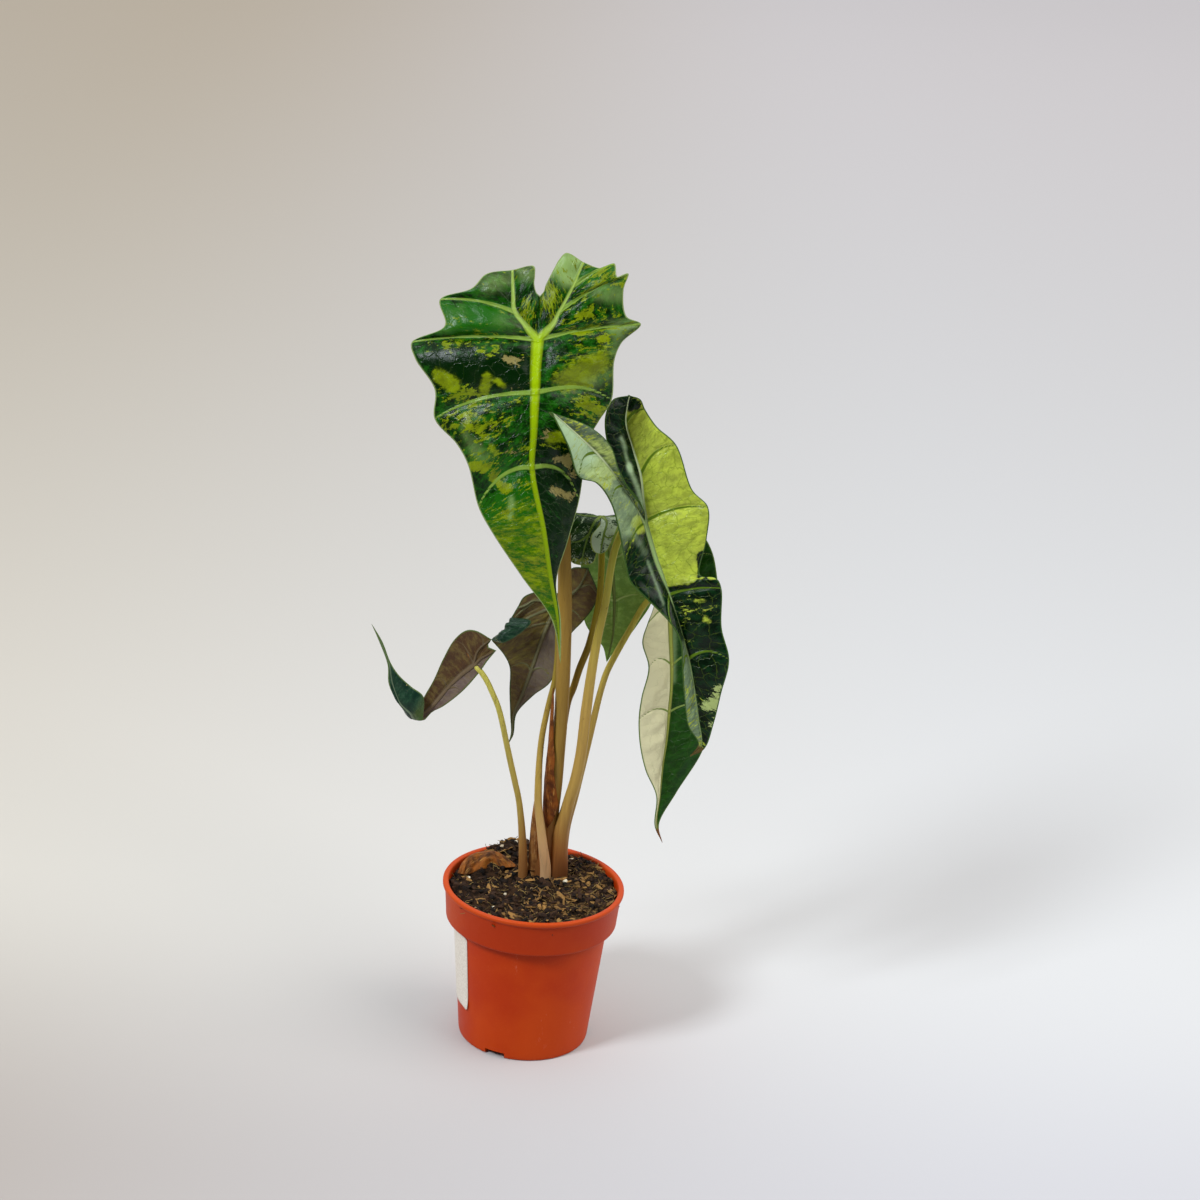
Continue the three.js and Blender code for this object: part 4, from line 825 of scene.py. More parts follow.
# Leaf stems. Six smooth, juicy stems that rise from the corm, pinkish brown at the foot and olive
# to yellow green above, faintly striped and freckled. Each runs into the joint of its own blade.
STEM_LOW = 46
STEM_SIDES = 28
STEM_STEP = 1.2
STEM_LINE_STEPS = 40
STEM_TOP_ROUNDING = 1.6
BROAD_RIDGE = 0.018
FINE_RIDGE = 0.012
STEM_TWIST = 0.02
FLARE_FOOT = 57
FLARE_TOP = 82
FLARE_POWER = 1.4
FOOT_COLOURED = (66, 98)
FOOT_UNEVENNESS = 16
FOOT_DARKENING_HEIGHTS = (74, 62)
FOOT_DARK_BROWN = (66, 38, 22)
FRECKLE_BROWN = (96, 58, 34)
STEM_COLOURS = {
    1: dict(foot=(142, 90, 46), middle=(152, 120, 52), head=(108, 88, 10), foot_darkening=0.35),
    2: dict(foot=(140, 86, 42), middle=(182, 148, 76), head=(182, 182, 70), foot_darkening=0.6),
    3: dict(foot=(144, 98, 56), middle=(174, 144, 72), head=(188, 180, 74), foot_darkening=0.4),
    4: dict(foot=(140, 98, 60), middle=(130, 100, 36), head=(144, 134, 24), foot_darkening=0.4),
    5: dict(foot=(216, 172, 124), middle=(172, 142, 68), head=(146, 128, 46), foot_darkening=0.1),
    6: dict(foot=(160, 110, 60), middle=(176, 154, 74), head=(190, 182, 84), foot_darkening=0.2),
}
FLARES = {1: 0.85, 2: 0.55, 3: 0.3, 4: 0.3, 5: 0.1, 6: 0.35}
STEMS = {
    1: [
        (3, 9.8, STEM_LOW, 2.6), (3.2, 9.6, 58, 2.6), (3.5, 9.2, 72, 2.5), (4.3, 7.8, 86, 2.45),
        (4.5, 6.6, 100, 2.35), (4.6, 5.8, 116, 2.25), (4.1, 5.2, 131, 2.35), (3.1, 5, 151, 2.35),
        (1.9, 5, 166, 2.15), (-0.2, 4.5, 187, 2.05), (-3.2, 3, 207, 2), (-7, 0.5, 224, 1.9),
        (-10.3, -2.3, 236.5, 1.8), (-11.5, -5, 242, 1.7),
    ],
    2: [
        (7.4, 7.4, STEM_LOW, 2.2), (7.5, 7.2, 58, 2.2), (7.7, 6.9, 71, 2.1), (9.3, 6, 82, 1.95),
        (11, 5.2, 91, 1.85), (12.1, 4.7, 101, 1.8), (12.6, 4.2, 116, 1.75), (13.4, 4, 131, 1.55),
        (14.4, 4, 142.5, 1.4), (16, 4, 154.5, 1.2), (16.7, 4, 166, 1.2), (17.8, 4.6, 173.8, 1.2),
        (20.2, 6.2, 180, 1.2), (23.2, 5.8, 182.6, 1.2), (26, 3, 183, 1.2),
    ],
    3: [
        (8.1, 13, STEM_LOW, 1.5), (8.4, 12.8, 57, 1.5), (8.9, 12.2, 70, 1.5), (11, 11.8, 82, 1.4),
        (12.2, 11.8, 90, 1.35), (13.7, 11.8, 100, 1.3), (15.6, 12, 112.5, 1.1), (16.6, 12, 119.3, 1.05),
        (18.2, 12, 127, 1.05), (20.2, 12, 132.5, 1.05), (22.6, 12.2, 138.2, 1.05), (24.4, 12.8, 142, 1),
        (26.3, 13.6, 146.3, 1), (28.4, 14.6, 150.4, 1), (31, 15.2, 153.4, 1), (34.3, 14, 153.3, 1),
        (36.8, 11.5, 150.5, 1),
    ],
    4: [
        (3, 15.5, STEM_LOW, 1.3), (3.4, 15, 58, 1.3), (4, 14, 79, 1.25), (5, 13, 98, 1.2),
        (5.6, 12.6, 107, 1.2), (6.5, 12.4, 116, 1.15), (7.8, 12.2, 120.5, 1.15), (9.3, 12, 127.5, 1.15),
        (11.6, 11.8, 135.6, 1.15), (13, 11.8, 144, 1.1), (13.9, 11.9, 152.5, 1.05),
        (13.7, 12, 163.5, 1.05), (13.2, 12.8, 170.5, 1.05), (12.8, 13.8, 175.3, 1),
        (12.5, 15, 179.4, 1),
    ],
    5: [
        (3.6, 4.8, STEM_LOW, 1.65), (3.5, 4.5, 58, 1.65), (2.1, 3.5, 66.6, 1.5), (1, 3.2, 73.2, 1.4),
        (-0.5, 3.8, 81.4, 1.3), (-1, 4.6, 88, 1.2), (-1.3, 6.8, 96.5, 1.05), (-1.1, 9, 104, 1),
        (-0.3, 10.8, 110.8, 0.95), (0.5, 11.8, 116.3, 0.9), (1.4, 12.5, 121.8, 0.85),
        (1.7, 12.8, 128, 0.85), (1.5, 13, 136.4, 0.85), (0.8, 13.6, 143, 0.85), (0, 15, 147.5, 0.85),
    ],
    6: [
        (-3.9, 6, STEM_LOW, 1.15), (-4, 5.8, 57, 1.15), (-5.1, 5, 69.8, 1.1), (-7, 4, 82.5, 1),
        (-8.7, 3, 89.5, 1), (-10.8, 2.3, 97.5, 1), (-12.6, 1.6, 104.7, 0.95), (-14.3, 1, 111.6, 0.95),
        (-16, 0.7, 117, 0.9), (-18.1, 0.5, 121.6, 0.9), (-20.2, 0.6, 125.6, 0.9),
        (-22.4, 1, 128.4, 0.9), (-24.6, 2, 130, 0.9),
    ],
}


def stem_piece(name, line, flare, material):
    """A round stalk along places (x, y, z, radius). It swells by the share `flare` at its foot and
    ends rounded under its blade."""
    line = np.array(line, float)
    route, radii = smooth_line(line[:, :3], STEM_LINE_STEPS), line[:, 3]
    length = np.concatenate([[0], np.cumsum(np.linalg.norm(np.diff(route, axis=0), axis=1))])
    at = np.linspace(0, length[-1], int(length[-1] / STEM_STEP) + 1)
    centres = np.stack([np.interp(at, length, route[:, k]) for k in range(3)], -1)
    stages = np.interp(at, length, np.linspace(0, len(radii) - 1, len(route)))
    radius = np.interp(stages, np.arange(len(radii)), radii)
    down = np.clip((FLARE_TOP - centres[:, 2]) / (FLARE_TOP - FLARE_FOOT), 0, 1)
    radius = radius * (1 + flare * down ** FLARE_POWER)
    into_top = 1 - np.clip((length[-1] - at) / STEM_TOP_ROUNDING, 0, 1)
    radius = radius * np.sqrt(np.clip(1 - into_top ** 2, 0.02, 1))
    along = unit(np.gradient(centres, axis=0))
    side = unit(np.cross(along[0], (0, 1, 0)))
    points, upwards = [centres[0]], [0]
    for i in range(len(at)):
        side = unit(side - along[i] * (side @ along[i]))
        other = np.cross(along[i], side)
        for j in range(STEM_SIDES):
            turn = 2 * pi * j / STEM_SIDES
            ridge = 1 + BROAD_RIDGE * sin(5 * turn + at[i] * STEM_TWIST) + FINE_RIDGE * sin(9 * turn)
            points.append(centres[i] + radius[i] * ridge * (cos(turn) * side + sin(turn) * other))
            upwards.append(at[i] / length[-1])
    points.append(centres[-1] + along[-1] * 0.1)
    upwards.append(1)
    faces = ring_faces(len(points), STEM_SIDES, flipped=True)
    return make_piece(name, points, faces, [material], values={"upwards": upwards})


def shaded(colour, share):
    """A colour made brighter or darker."""
    return tuple(share * value for value in colour)


def stem_material(name, foot, middle, head, foot_darkening):
    """Skin of one stem, coloured from its foot to its head and darker brown low down, next to the mix."""
    material, tree, shader = new_material(
        name, Roughness=0.42, Specular_IOR_Level=0.15, Subsurface_Weight=0.12,
        Subsurface_Radius=(0.8, 0.7, 0.3), Subsurface_Scale=0.001)
    place = object_place(tree)
    stripes = noise(tree, stretched(tree, place, (1, 1, 0.05)), 950, detail=3, roughness=0.6)
    cloud = noise(tree, stretched(tree, place, (1, 1, 0.3)), 90, detail=3)
    up_stem = plus(tree, field(tree, "upwards"), times(tree, cloud, 0.12))
    height = plus(tree, along_axis(tree, place, "Z"), times(tree, cloud, FOOT_UNEVENNESS * MM))
    over_foot = between(tree, height, *(edge * MM for edge in FOOT_COLOURED))
    to_head = between(tree, up_stem, 0.5, 1.05)
    colour = mixed(tree, to_head, mixed(tree, over_foot, foot, middle), head)
    deep = mixed(tree, over_foot, shaded(foot, 0.74), shaded(middle, 0.74))
    bright = mixed(tree, to_head, shaded(middle, 1.14), shaded(head, 1.12))
    colour = mixed(tree, between(tree, stripes, 0.48, 0.75, 0, 0.5), colour, deep)
    where_bright = times(tree, between(tree, stripes, 0.5, 0.25, 0, 0.35), over_foot)
    colour = mixed(tree, where_bright, colour, bright)
    # Darker brown low on the stem, next to the mix, by a share given for each stem.
    foot_darkened = between(tree, height, *(edge * MM for edge in FOOT_DARKENING_HEIGHTS), 0, foot_darkening)
    colour = mixed(tree, foot_darkened, colour, FOOT_DARK_BROWN)
    freckles = noise(tree, stretched(tree, place, (1, 1, 0.5)), 620, detail=2)
    where_freckled = between(tree, noise(tree, place, 70, detail=1), 0.5, 0.62, 0, 0.6)
    freckles = times(tree, between(tree, freckles, 0.66, 0.72), where_freckled)
    colour = mixed(tree, freckles, colour, FRECKLE_BROWN)
    finish_shader(tree, shader, Base_Color=colour, Normal=dented(tree, stripes, 0.25, 0.0003))
    return material


for number, line in STEMS.items():
    name = f"stem_{number}"
    material = stem_material(name + "_skin", **STEM_COLOURS[number])
    stand_for(stem_piece(name + "_stalk", line, FLARES[number], material), name)

# Leaf blade 1. The large front leaf: a leathery, glossy arrowhead with a waved margin, dark green
# marbled in yellow green, and puffed up between its pale veins. The blades that follow share its
# build: two halves on a midrib, each with a back lobe on a rib of its own.
BLADE_THICKNESS = 0.5
THINNEST_MARGIN = 0.62
SIDE_VEIN_DEPTH = 0.3
SIDE_VEIN_ARCH = 0.3
PANEL_BULGE = 0.08
VEIN_BULGE = 0.02
WIDE_ENOUGH = 14
OUTER_COLUMNS = 34
INNER_COLUMNS = 18
ROLL_COLUMNS = 16
VEIN = {"vein": True, "bulge": VEIN_BULGE}
BAY = {"vein": False, "bulge": PANEL_BULGE}
FLAT = {"vein": False, "bulge": 0.0}
NO_VEIN = 9.0
RIPPLES = ((3.6, 31, 0.8), (1.6, 32, 0.28))
UPPER_RIB = 0.22
UPPER_VEIN = 0.1
THIN_WITHIN = 1.2
TIP_RIB_SHARE = 0.16
COSTA_FROM = 0.66
COSTA_LOSS = 0.38
# Washes laid on the blades; the pale one carries the leaves' own pale colour and also painted sheen and
# highlights.
WASHES = ("light", "lime", "cream", "pale", "fresh", "dry")
NET_SCALE = 3.4
NET_WIDTH = 0.05
SHIFT_A_LEAF = (3.1, 1.7, 0.9)
CREAM_SHIFT = 11.3
FINE_MARBLING = 0.95
MARBLING_EDGE = 0.03
RELIEF = {"pores": 0.35, "net": -0.6, "ground": 1.1, "beside_vein": 1.8, "vein": 1.2, "beside_rib": 1.6}
BLADE_1 = {
    "rib_depth": 1.2,
    "tip": [3.5, -25, 144],
    "body": [
        [[1.5, -25, 158.5], [-0.5, -25.5, 159], [2.5, -25, 158.5], BAY],
        [[-1.5, -24, 171], [-10.5, -24, 171.5], [0, -22, 170], BAY],
        [[-5, -22.5, 187], [-20.5, -21.5, 184], [2.5, -18, 182], BAY],
        [[-10, -19, 205.5], [-25.6, -18, 191], [5, -13, 194], VEIN],
        [[-10.5, -16, 216.5], [-29.8, -16.6, 204], [6.5, -8, 212.5], BAY],
        [[-10.8, -14.3, 222], [-33.8, -14.2, 209.6], [9.2, -6, 218.3], BAY],
        [[-11, -12.5, 227.5], [-41.2, -11, 216], [12.5, -4, 224.5], VEIN],
        [[-11.4, -9.6, 233.6], [-41.8, -9.8, 225], [12.4, -3.5, 237.4], BAY],
        [[-11.5, -7, 238.6], [-48.6, -6, 233.2], [14.2, -1.2, 242.4], BAY],
        [[-11.5, -5, 242], [-50.2, -2.3, 237.2], [19.6, 2, 247.8], VEIN],
    ],
    "left": {
        "rows": [
            [[-15.5, -3, 245.5], [-40.3, -3.8, 243.8], [-13.2, 0.5, 255.5], BAY],
            [[-19, -1, 249], [-42.6, 2, 250.3], [-14, 1, 258], VEIN],
            [[-20, 1, 253.5], [-33, 1, 255], [-14, 2, 260.5], BAY],
            [[-20.5, 2.5, 257], [-29, 4, 259], [-14.5, 3, 263], BAY],
        ],
        "tip": [-21, 4, 261],
    },
    "right": {
        "rows": [
            [[-7.5, -3, 246.5], [14.9, 0.6, 250.4], [-10.8, 1, 256], BAY],
            [[-6.5, -2, 248.5], [13.4, 2, 258.3], [-10.5, 1.2, 257.6], BAY],
            [[-5.5, -1, 250.5], [14.5, 4, 262.9], [-10, 1.5, 259], VEIN],
            [[-3.5, 1, 254.5], [11.2, 2.2, 262.1], [-8.5, 2.5, 262.5], BAY],
            [[-2, 2, 258], [10, 5, 265.4], [-7, 4, 265.5], VEIN],
            [[-1, 3.5, 261], [6, 4.8, 263.6], [-5, 5, 267.5], BAY],
        ],
        "tip": [0.5, 5, 265],
    },
    "notch": [-12, 1, 254.3],
}
left, right, both = ("left",), ("right",), ("left", "right")
left_inner, right_inner = ("left inner",), ("right inner",)


def eased(numbers, stage):
    """Numbers of the rows spread over finer stages: sharp beside a vein, round over a panel."""
    at = np.minimum(stage.astype(int), len(numbers) - 2)
    share = stage - at
    low, high = np.array(numbers)[at], np.array(numbers)[at + 1]
    rising = np.sin(0.5 * pi * share)
    falling = 1 - np.sin(0.5 * pi * (1 - share))
    return low + (high - low) * np.where(high > low, rising, falling)


def gap_to_line(points, line):
    """Distance from every point to a line of short pieces."""
    start, way = line[:-1], np.diff(line, axis=0)
    apart = points[..., None, :] - start
    along = np.clip((apart * way).sum(-1) / np.maximum((way ** 2).sum(-1), 1e-9), 0, 1)
    return np.linalg.norm(apart - along[..., None] * way, axis=-1).min(axis=-1)


def half_blade(rib_parts, edge_points, kinds, columns, side, first_row, rib_widths, sign, arch):
    """One half of a blade between its rib, given in parts, and its edge. The side veins arch by
    `arch` rows between the rib and the edge, and the panels puff up between them. `side` says
    whether the edge lies left or right of the rib, and `sign` does so on the flat map."""
    lines = [smooth_line(part, ROW_STEPS) for part in rib_parts]
    rib = np.vstack([lines[0], *[line[1:] for line in lines[1:]]])
    count = len(rib)
    across = smooth_line(edge_points, ROW_STEPS) - rib
    width = np.linalg.norm(across, axis=1)
    along = np.vstack([rib[1:], rib[-1:]]) - np.vstack([rib[:1], rib[:-1]])
    up = unit(np.cross(along, across) * side)
    even = np.linspace(0, 1, columns)
    crowded = 0.6 * even ** 1.5 + 0.4 * (1 - (1 - even) ** 1.3)
    crowd = np.minimum(1, width / WIDE_ENOUGH)[:, None]
    v = even * (1 - crowd) + crowded * crowd
    stage = np.arange(count) / ROW_STEPS
    arched = np.clip(stage[:, None] - arch * 4 * v * (1 - v), 0, stage[-1])
    bulge = eased([kind["bulge"] for kind in kinds], arched) * width[:, None]
    points = rib[:, None] + across[:, None] * v[:, :, None]
    points = points + up[:, None] * (bulge * 4 * v * (1 - v))[:, :, None]
    vein = np.full(v.shape, NO_VEIN)
    for row in [row for row, kind in enumerate(kinds) if kind["vein"]]:
        at_vein = v[row * ROW_STEPS]
        at = np.minimum((row + arch * 4 * at_vein * (1 - at_vein)) * ROW_STEPS, count - 1.001)
        low = at.astype(int)
        column = np.arange(columns)
        share = (at - low)[:, None]
        line = points[low, column] * (1 - share) + points[low + 1, column] * share
        vein = np.minimum(vein, gap_to_line(points, line))
    away = v * width[:, None]
    ones = np.ones(v.shape)
    length = np.cumsum(np.linalg.norm(along, axis=1) / 2)[:, None] * ones
    numbers = {
        "rib": away / np.interp(stage, np.arange(len(rib_widths)), rib_widths)[:, None],
        "side_vein": vein,
        "outwards": v,
        "margin": (1 - v) * width[:, None],
        "row": (first_row + stage)[:, None] * ones,
    }
    flat = np.stack([sign * away, length], -1) / MAP_UNIT
    return {"points": points, "numbers": numbers, "flat": flat, "turned": side < 0}


def rolled_strip(edge_points, roll, turned, sign):
    """A strip of the edge that is rolled over towards the other face."""
    start = roll["from"]
    end = start + len(roll["rows"]) + 1
    hem = smooth_line(edge_points, ROW_STEPS)[start * ROW_STEPS:end * ROW_STEPS + 1]
    bend, free = (
        smooth_line([edge_points[start], *[row[i] for row in roll["rows"]], edge_points[end]], ROW_STEPS)
        for i in (0, 1))
    t = np.linspace(0, 1, ROLL_COLUMNS)[None, :, None]
    points = (1 - t) ** 2 * hem[:, None] + 2 * t * (1 - t) * bend[:, None] + t * t * free[:, None]
    pieces = np.linalg.norm(np.diff(points, axis=1), axis=-1)
    away = np.concatenate([np.zeros((len(hem), 1)), np.cumsum(pieces, axis=1)], 1)
    ones = np.ones(away.shape)
    numbers = {
        "rib": 5 * ones,
        "side_vein": NO_VEIN * ones,
        "outwards": ones,
        "margin": away[:, -1:] - away,
        "row": (start + np.arange(len(hem)) / ROW_STEPS)[:, None] * ones,
    }
    flat = np.stack([sign * (20 + away), np.cumsum(ones, axis=0)], -1) / MAP_UNIT
    return {"points": points, "numbers": numbers, "flat": flat, "turned": turned}


def painted(grid, half, sectors, spots):
    """The grid with soft washes of colour. A sector (wash, halves, first row, last row, strength)
    goes from row to row. A spot (wash, halves, ends, radius, strength) lies round a place (x, z),
    or round the line from there to a second one, as seen from the front."""
    washes = {key: np.zeros(grid["points"].shape[:2]) for key in WASHES}
    place = grid["points"][:, :, ::2]
    row = grid["numbers"]["row"]
    for wash, halves, start, end, strength in sectors:
        if half in halves:
            washes[wash] += strength / (1 + np.exp(-6 * (row - start))) / (1 + np.exp(6 * (row - end)))
    for wash, halves, ends, radius, strength in spots:
        if half in halves:
            line = np.array([ends[:2], ends[-2:]], float)
            washes[wash] += strength * np.exp(-(gap_to_line(place, line) / radius) ** 2)
    grid["numbers"].update(washes)
    return grid


def raised(grid, rib_depth, vein_width, body_count):
    """The grid with its ribs, veins, ripples and thin margin as pushes on the two faces."""
    numbers = grid["numbers"]
    outwards = numbers.pop("outwards")
    numbers["costa"] = np.clip(numbers["row"] - body_count, 0, 1)
    numbers["side_vein"] = numbers["side_vein"] / (vein_width * (1 - 0.65 * outwards))
    round_rib = np.sqrt(np.clip(1 - numbers["rib"] ** 2, 0, 1))
    round_vein = np.sqrt(np.clip(1 - (numbers["side_vein"] / 1.3) ** 2, 0, 1)) * (1 - outwards)
    slim = np.clip(numbers["row"] / body_count, 0.25, 1)
    u, v = grid["flat"][:, :, 0] * MAP_UNIT, grid["flat"][:, :, 1] * MAP_UNIT
    fade = np.clip(numbers["margin"] / 3, 0, 1) * np.clip(numbers["rib"] - 1, 0, 1)
    ripple = fade * sum((lumps(u, v, size, seed) - 0.5) * tall for size, seed, tall in RIPPLES)
    numbers["above"] = UPPER_RIB * rib_depth * round_rib + UPPER_VEIN * round_vein + ripple
    numbers["below"] = rib_depth * np.maximum(round_rib * slim, SIDE_VEIN_DEPTH * round_vein) - ripple
    inwards = np.clip(numbers["margin"] / THIN_WITHIN, 0, 1)
    numbers["thickness"] = THINNEST_MARGIN + (1 - THINNEST_MARGIN) * inwards
    return grid


def blade_piece(name, materials, shape, rib_width, vein_width, sectors, spots):
    """A whole blade with its raised ribs, its thinner margin and its washes of colour."""
    body = shape["body"]
    midrib = [shape["tip"], *[row[0] for row in body]]
    shares = [TIP_RIB_SHARE + (1 - TIP_RIB_SHARE) * i / len(body) for i in range(len(body) + 1)]
    body_widths = [rib_width * share for share in shares]
    grids = []
    for word, column, side in (("left", 1, 1), ("right", 2, -1)):
        lobe = shape[word]
        rows = lobe["rows"]
        costa = [midrib[-1], *[row[0] for row in rows], lobe["tip"]]
        outer = [shape["tip"], *[row[column] for row in body], *[row[1] for row in rows], lobe["tip"]]
        inner = [shape["notch"], *[row[2] for row in rows], lobe["tip"]]
        ends = len(rows) + 1
        costa_widths = [rib_width * (COSTA_FROM - COSTA_LOSS * i / ends) for i in range(1, ends + 1)]
        outer_kinds = [FLAT, *[row[3] for row in (*body, *rows)], FLAT]
        inner_kinds = [FLAT, *[BAY] * len(rows), FLAT]
        facing = -side if shape.get("mirrored") else side
        parts = {
            word: half_blade([midrib, costa], outer, outer_kinds, OUTER_COLUMNS, facing, 0,
                             body_widths + costa_widths, -side, SIDE_VEIN_ARCH),
            word + " inner": half_blade([costa], inner, inner_kinds, INNER_COLUMNS, -facing, len(body),
                                        [body_widths[-1], *costa_widths], side, 0),
        }
        if "roll" in lobe:
            parts[word + " roll"] = rolled_strip(outer, lobe["roll"], facing < 0, -side)
        for half, grid in parts.items():
            grid = painted(grid, half, sectors, spots)
            grids.append(raised(grid, shape["rib_depth"], vein_width, len(body)))
    return skin_piece(name, grids, BLADE_THICKNESS, materials, smoothing=10)


# Masks of the midrib and the ribs of the lobes, the side veins, the fine net and the margin.
leaf_lines, _ = new_tree("ShaderNodeTree", "leaf_lines", {},
                         dict.fromkeys(("Rib", "Vein", "Net", "Margin"), "Float"))
flat = surface_map(leaf_lines)
shake = add_node(leaf_lines, "ShaderNodeTexNoise", {"Vector": flat, "Scale": 5.0, "Detail": 2.0})
shaken = summed(leaf_lines, flat, scaled(leaf_lines, shake.outputs["Color"], 0.22))
cells = add_node(leaf_lines, "ShaderNodeTexVoronoi", {
    "Vector": stretched(leaf_lines, shaken, (0.6, 1, 1)), "Scale": NET_SCALE},
    feature="DISTANCE_TO_EDGE", voronoi_dimensions="2D").outputs["Distance"]
add_node(leaf_lines, "NodeGroupOutput", {
    "Rib": between(leaf_lines, field(leaf_lines, "rib"), 1.1, 0.8),
    "Vein": between(leaf_lines, field(leaf_lines, "side_vein"), 1.15, 0.55),
    "Net": between(leaf_lines, cells, NET_WIDTH, 0.0),
    "Margin": between(leaf_lines, field(leaf_lines, "margin"), 0.5, 0.22),
})

# Ragged patches that run outwards from the ribs in streaks, wherever noise and wash are strong.
marbling, given = new_tree("ShaderNodeTree", "marbling", {
    "Wash": "Float", "Level": "Float", "Scale": "Float", "Streak": "Float", "Shift": "Vector"},
    {"Mask": "Float"})
streak = add_node(marbling, "ShaderNodeCombineXYZ", {"X": given["Streak"], "Y": 1.0, "Z": 1.0}).outputs[0]
spread = add_node(marbling, "ShaderNodeVectorMath", {0: surface_map(marbling), 1: streak},
                  operation="MULTIPLY").outputs[0]
spread = summed(marbling, spread, given["Shift"])
broad = noise(marbling, spread, given["Scale"], detail=5, roughness=0.7, distortion=0.6)
fine = noise(marbling, spread, times(marbling, given["Scale"], 7.0), detail=4, roughness=0.75)
total = plus(marbling, broad, times(marbling, fine, FINE_MARBLING), -0.5 * FINE_MARBLING, given["Wash"])
low, high = (plus(marbling, given["Level"], edge) for edge in (-MARBLING_EDGE, MARBLING_EDGE))
add_node(marbling, "NodeGroupOutput", {"Mask": between(marbling, total, low, high)})


def leaf_face(name, dark, middle, light, cream, rib, vein, margin, costa=None, pale=(132, 164, 91),
              dry=(112, 70, 34), light_level=0.6, cream_level=0.72, net=0.2, net_colour=None,
              roughness=0.2, gloss=0.2, seed=0, marble=1.5, streak=0.35):
    """One face of a blade: ground colour, marbling, cream patches, soft washes of the light and the
    pale colour, where the pale wash also carries painted sheen and highlights, net, veins, ribs with
    painted shade along their flanks, and margin."""
    material, tree, shader = new_material(name, Roughness=roughness, Specular_IOR_Level=gloss)
    costa = costa or vein
    flat = surface_map(tree)
    shift = tuple(seed * value for value in SHIFT_A_LEAF)
    lines = add_node(tree, "ShaderNodeGroup", node_tree=leaf_lines).outputs
    ground = noise(tree, stretched(tree, flat, (0.6, 1, 1), shift), 4.0, detail=6, roughness=0.75)
    tone = noise(tree, stretched(tree, flat, (0.5, 1, 1), shift), 5.0, detail=6, roughness=0.75)
    crumb = times(tree, plus(tree, tone, -0.5), 1.1)
    fresh = plus(tree, ground, times(tree, field(tree, "fresh"), 0.4))
    colour = mixed(tree, between(tree, fresh, 0.42, 0.64), dark, middle)
    light_colour = mixed(tree, between(tree, tone, 0.38, 0.62), shaded(light, 0.8), light)
    lime_wash = between(tree, plus(tree, field(tree, "lime"), crumb), 0.2, 0.6)
    colour = mixed(tree, lime_wash, colour, light_colour)
    # The pale wash: pale colour of the leaf and, where spots put it, painted sheen and highlights.
    pale_and_sheen_wash = between(tree, plus(tree, field(tree, "pale"), times(tree, crumb, 0.5)), 0.05, 0.95)
    colour = mixed(tree, pale_and_sheen_wash, colour, pale)
    cream_shift = [value + CREAM_SHIFT for value in shift]
    for wash, paint, level, scale, drawn_out, place in (
            ("light", light_colour, light_level, marble, streak, shift),
            ("cream", cream, cream_level, marble * 1.4, streak * 1.3, cream_shift)):
        inputs = {"Wash": field(tree, wash), "Level": level, "Scale": scale, "Streak": drawn_out,
                  "Shift": place}
        mask = add_node(tree, "ShaderNodeGroup", inputs, node_tree=marbling).outputs["Mask"]
        colour = mixed(tree, mask, colour, paint)
    net_share = times(tree, lines["Net"], between(tree, lime_wash, 0, 1, 0.35 * net, net))
    colour = mixed(tree, net_share, colour, net_colour or vein)
    colour = mixed(tree, lines["Vein"], colour, vein)

    on_costa = field(tree, "costa")
    beside = field(tree, "rib")
    rib_colour = mixed(tree, between(tree, field(tree, "row"), 8, 1), rib, shaded(rib, 0.8))
    rib_colour = mixed(tree, on_costa, rib_colour, costa)
    # Painted shade: the rib colour darkens towards the flanks of the midrib and of the lobes' ribs.
    rib_edge_shade = mixed(tree, on_costa, shaded(rib, 0.74), shaded(costa, 0.8))
    rib_colour = mixed(tree, between(tree, beside, 0.35, 0.85), rib_colour, rib_edge_shade)
    colour = mixed(tree, lines["Rib"], colour, rib_colour)
    colour = mixed(tree, lines["Margin"], colour, margin)
    colour = mixed(tree, between(tree, field(tree, "dry"), 0.3, 0.6), colour, dry)
    relief = plus(
        tree, times(tree, noise(tree, flat, 60, detail=2), RELIEF["pores"]),
        times(tree, lines["Net"], RELIEF["net"]), times(tree, ground, RELIEF["ground"]),
        between(tree, field(tree, "side_vein"), 1.0, 3.6, 0, RELIEF["beside_vein"]),
        times(tree, lines["Vein"], RELIEF["vein"]), between(tree, beside, 1.0, 2.4, 0, RELIEF["beside_rib"]))
    rough = between(tree, ground, 0.3, 0.7, roughness - 0.04, roughness + 0.1)
    finish_shader(tree, shader, Base_Color=colour, Roughness=rough, Normal=dented(tree, relief, 0.4, 0.0003))
    return material


def leaf(number, shape, upper, under, rib_width, vein_width, sectors, spots):
    """One leaf with its two faces, in place of its CAD node."""
    name = f"blade_{number}"
    looks = {"_upper": upper, "_under": under}
    materials = [leaf_face(name + word, seed=number, **look) for word, look in looks.items()]
    piece = blade_piece(name + "_leaf", materials, shape, rib_width, vein_width, sectors, spots)
    stand_for(piece, name)


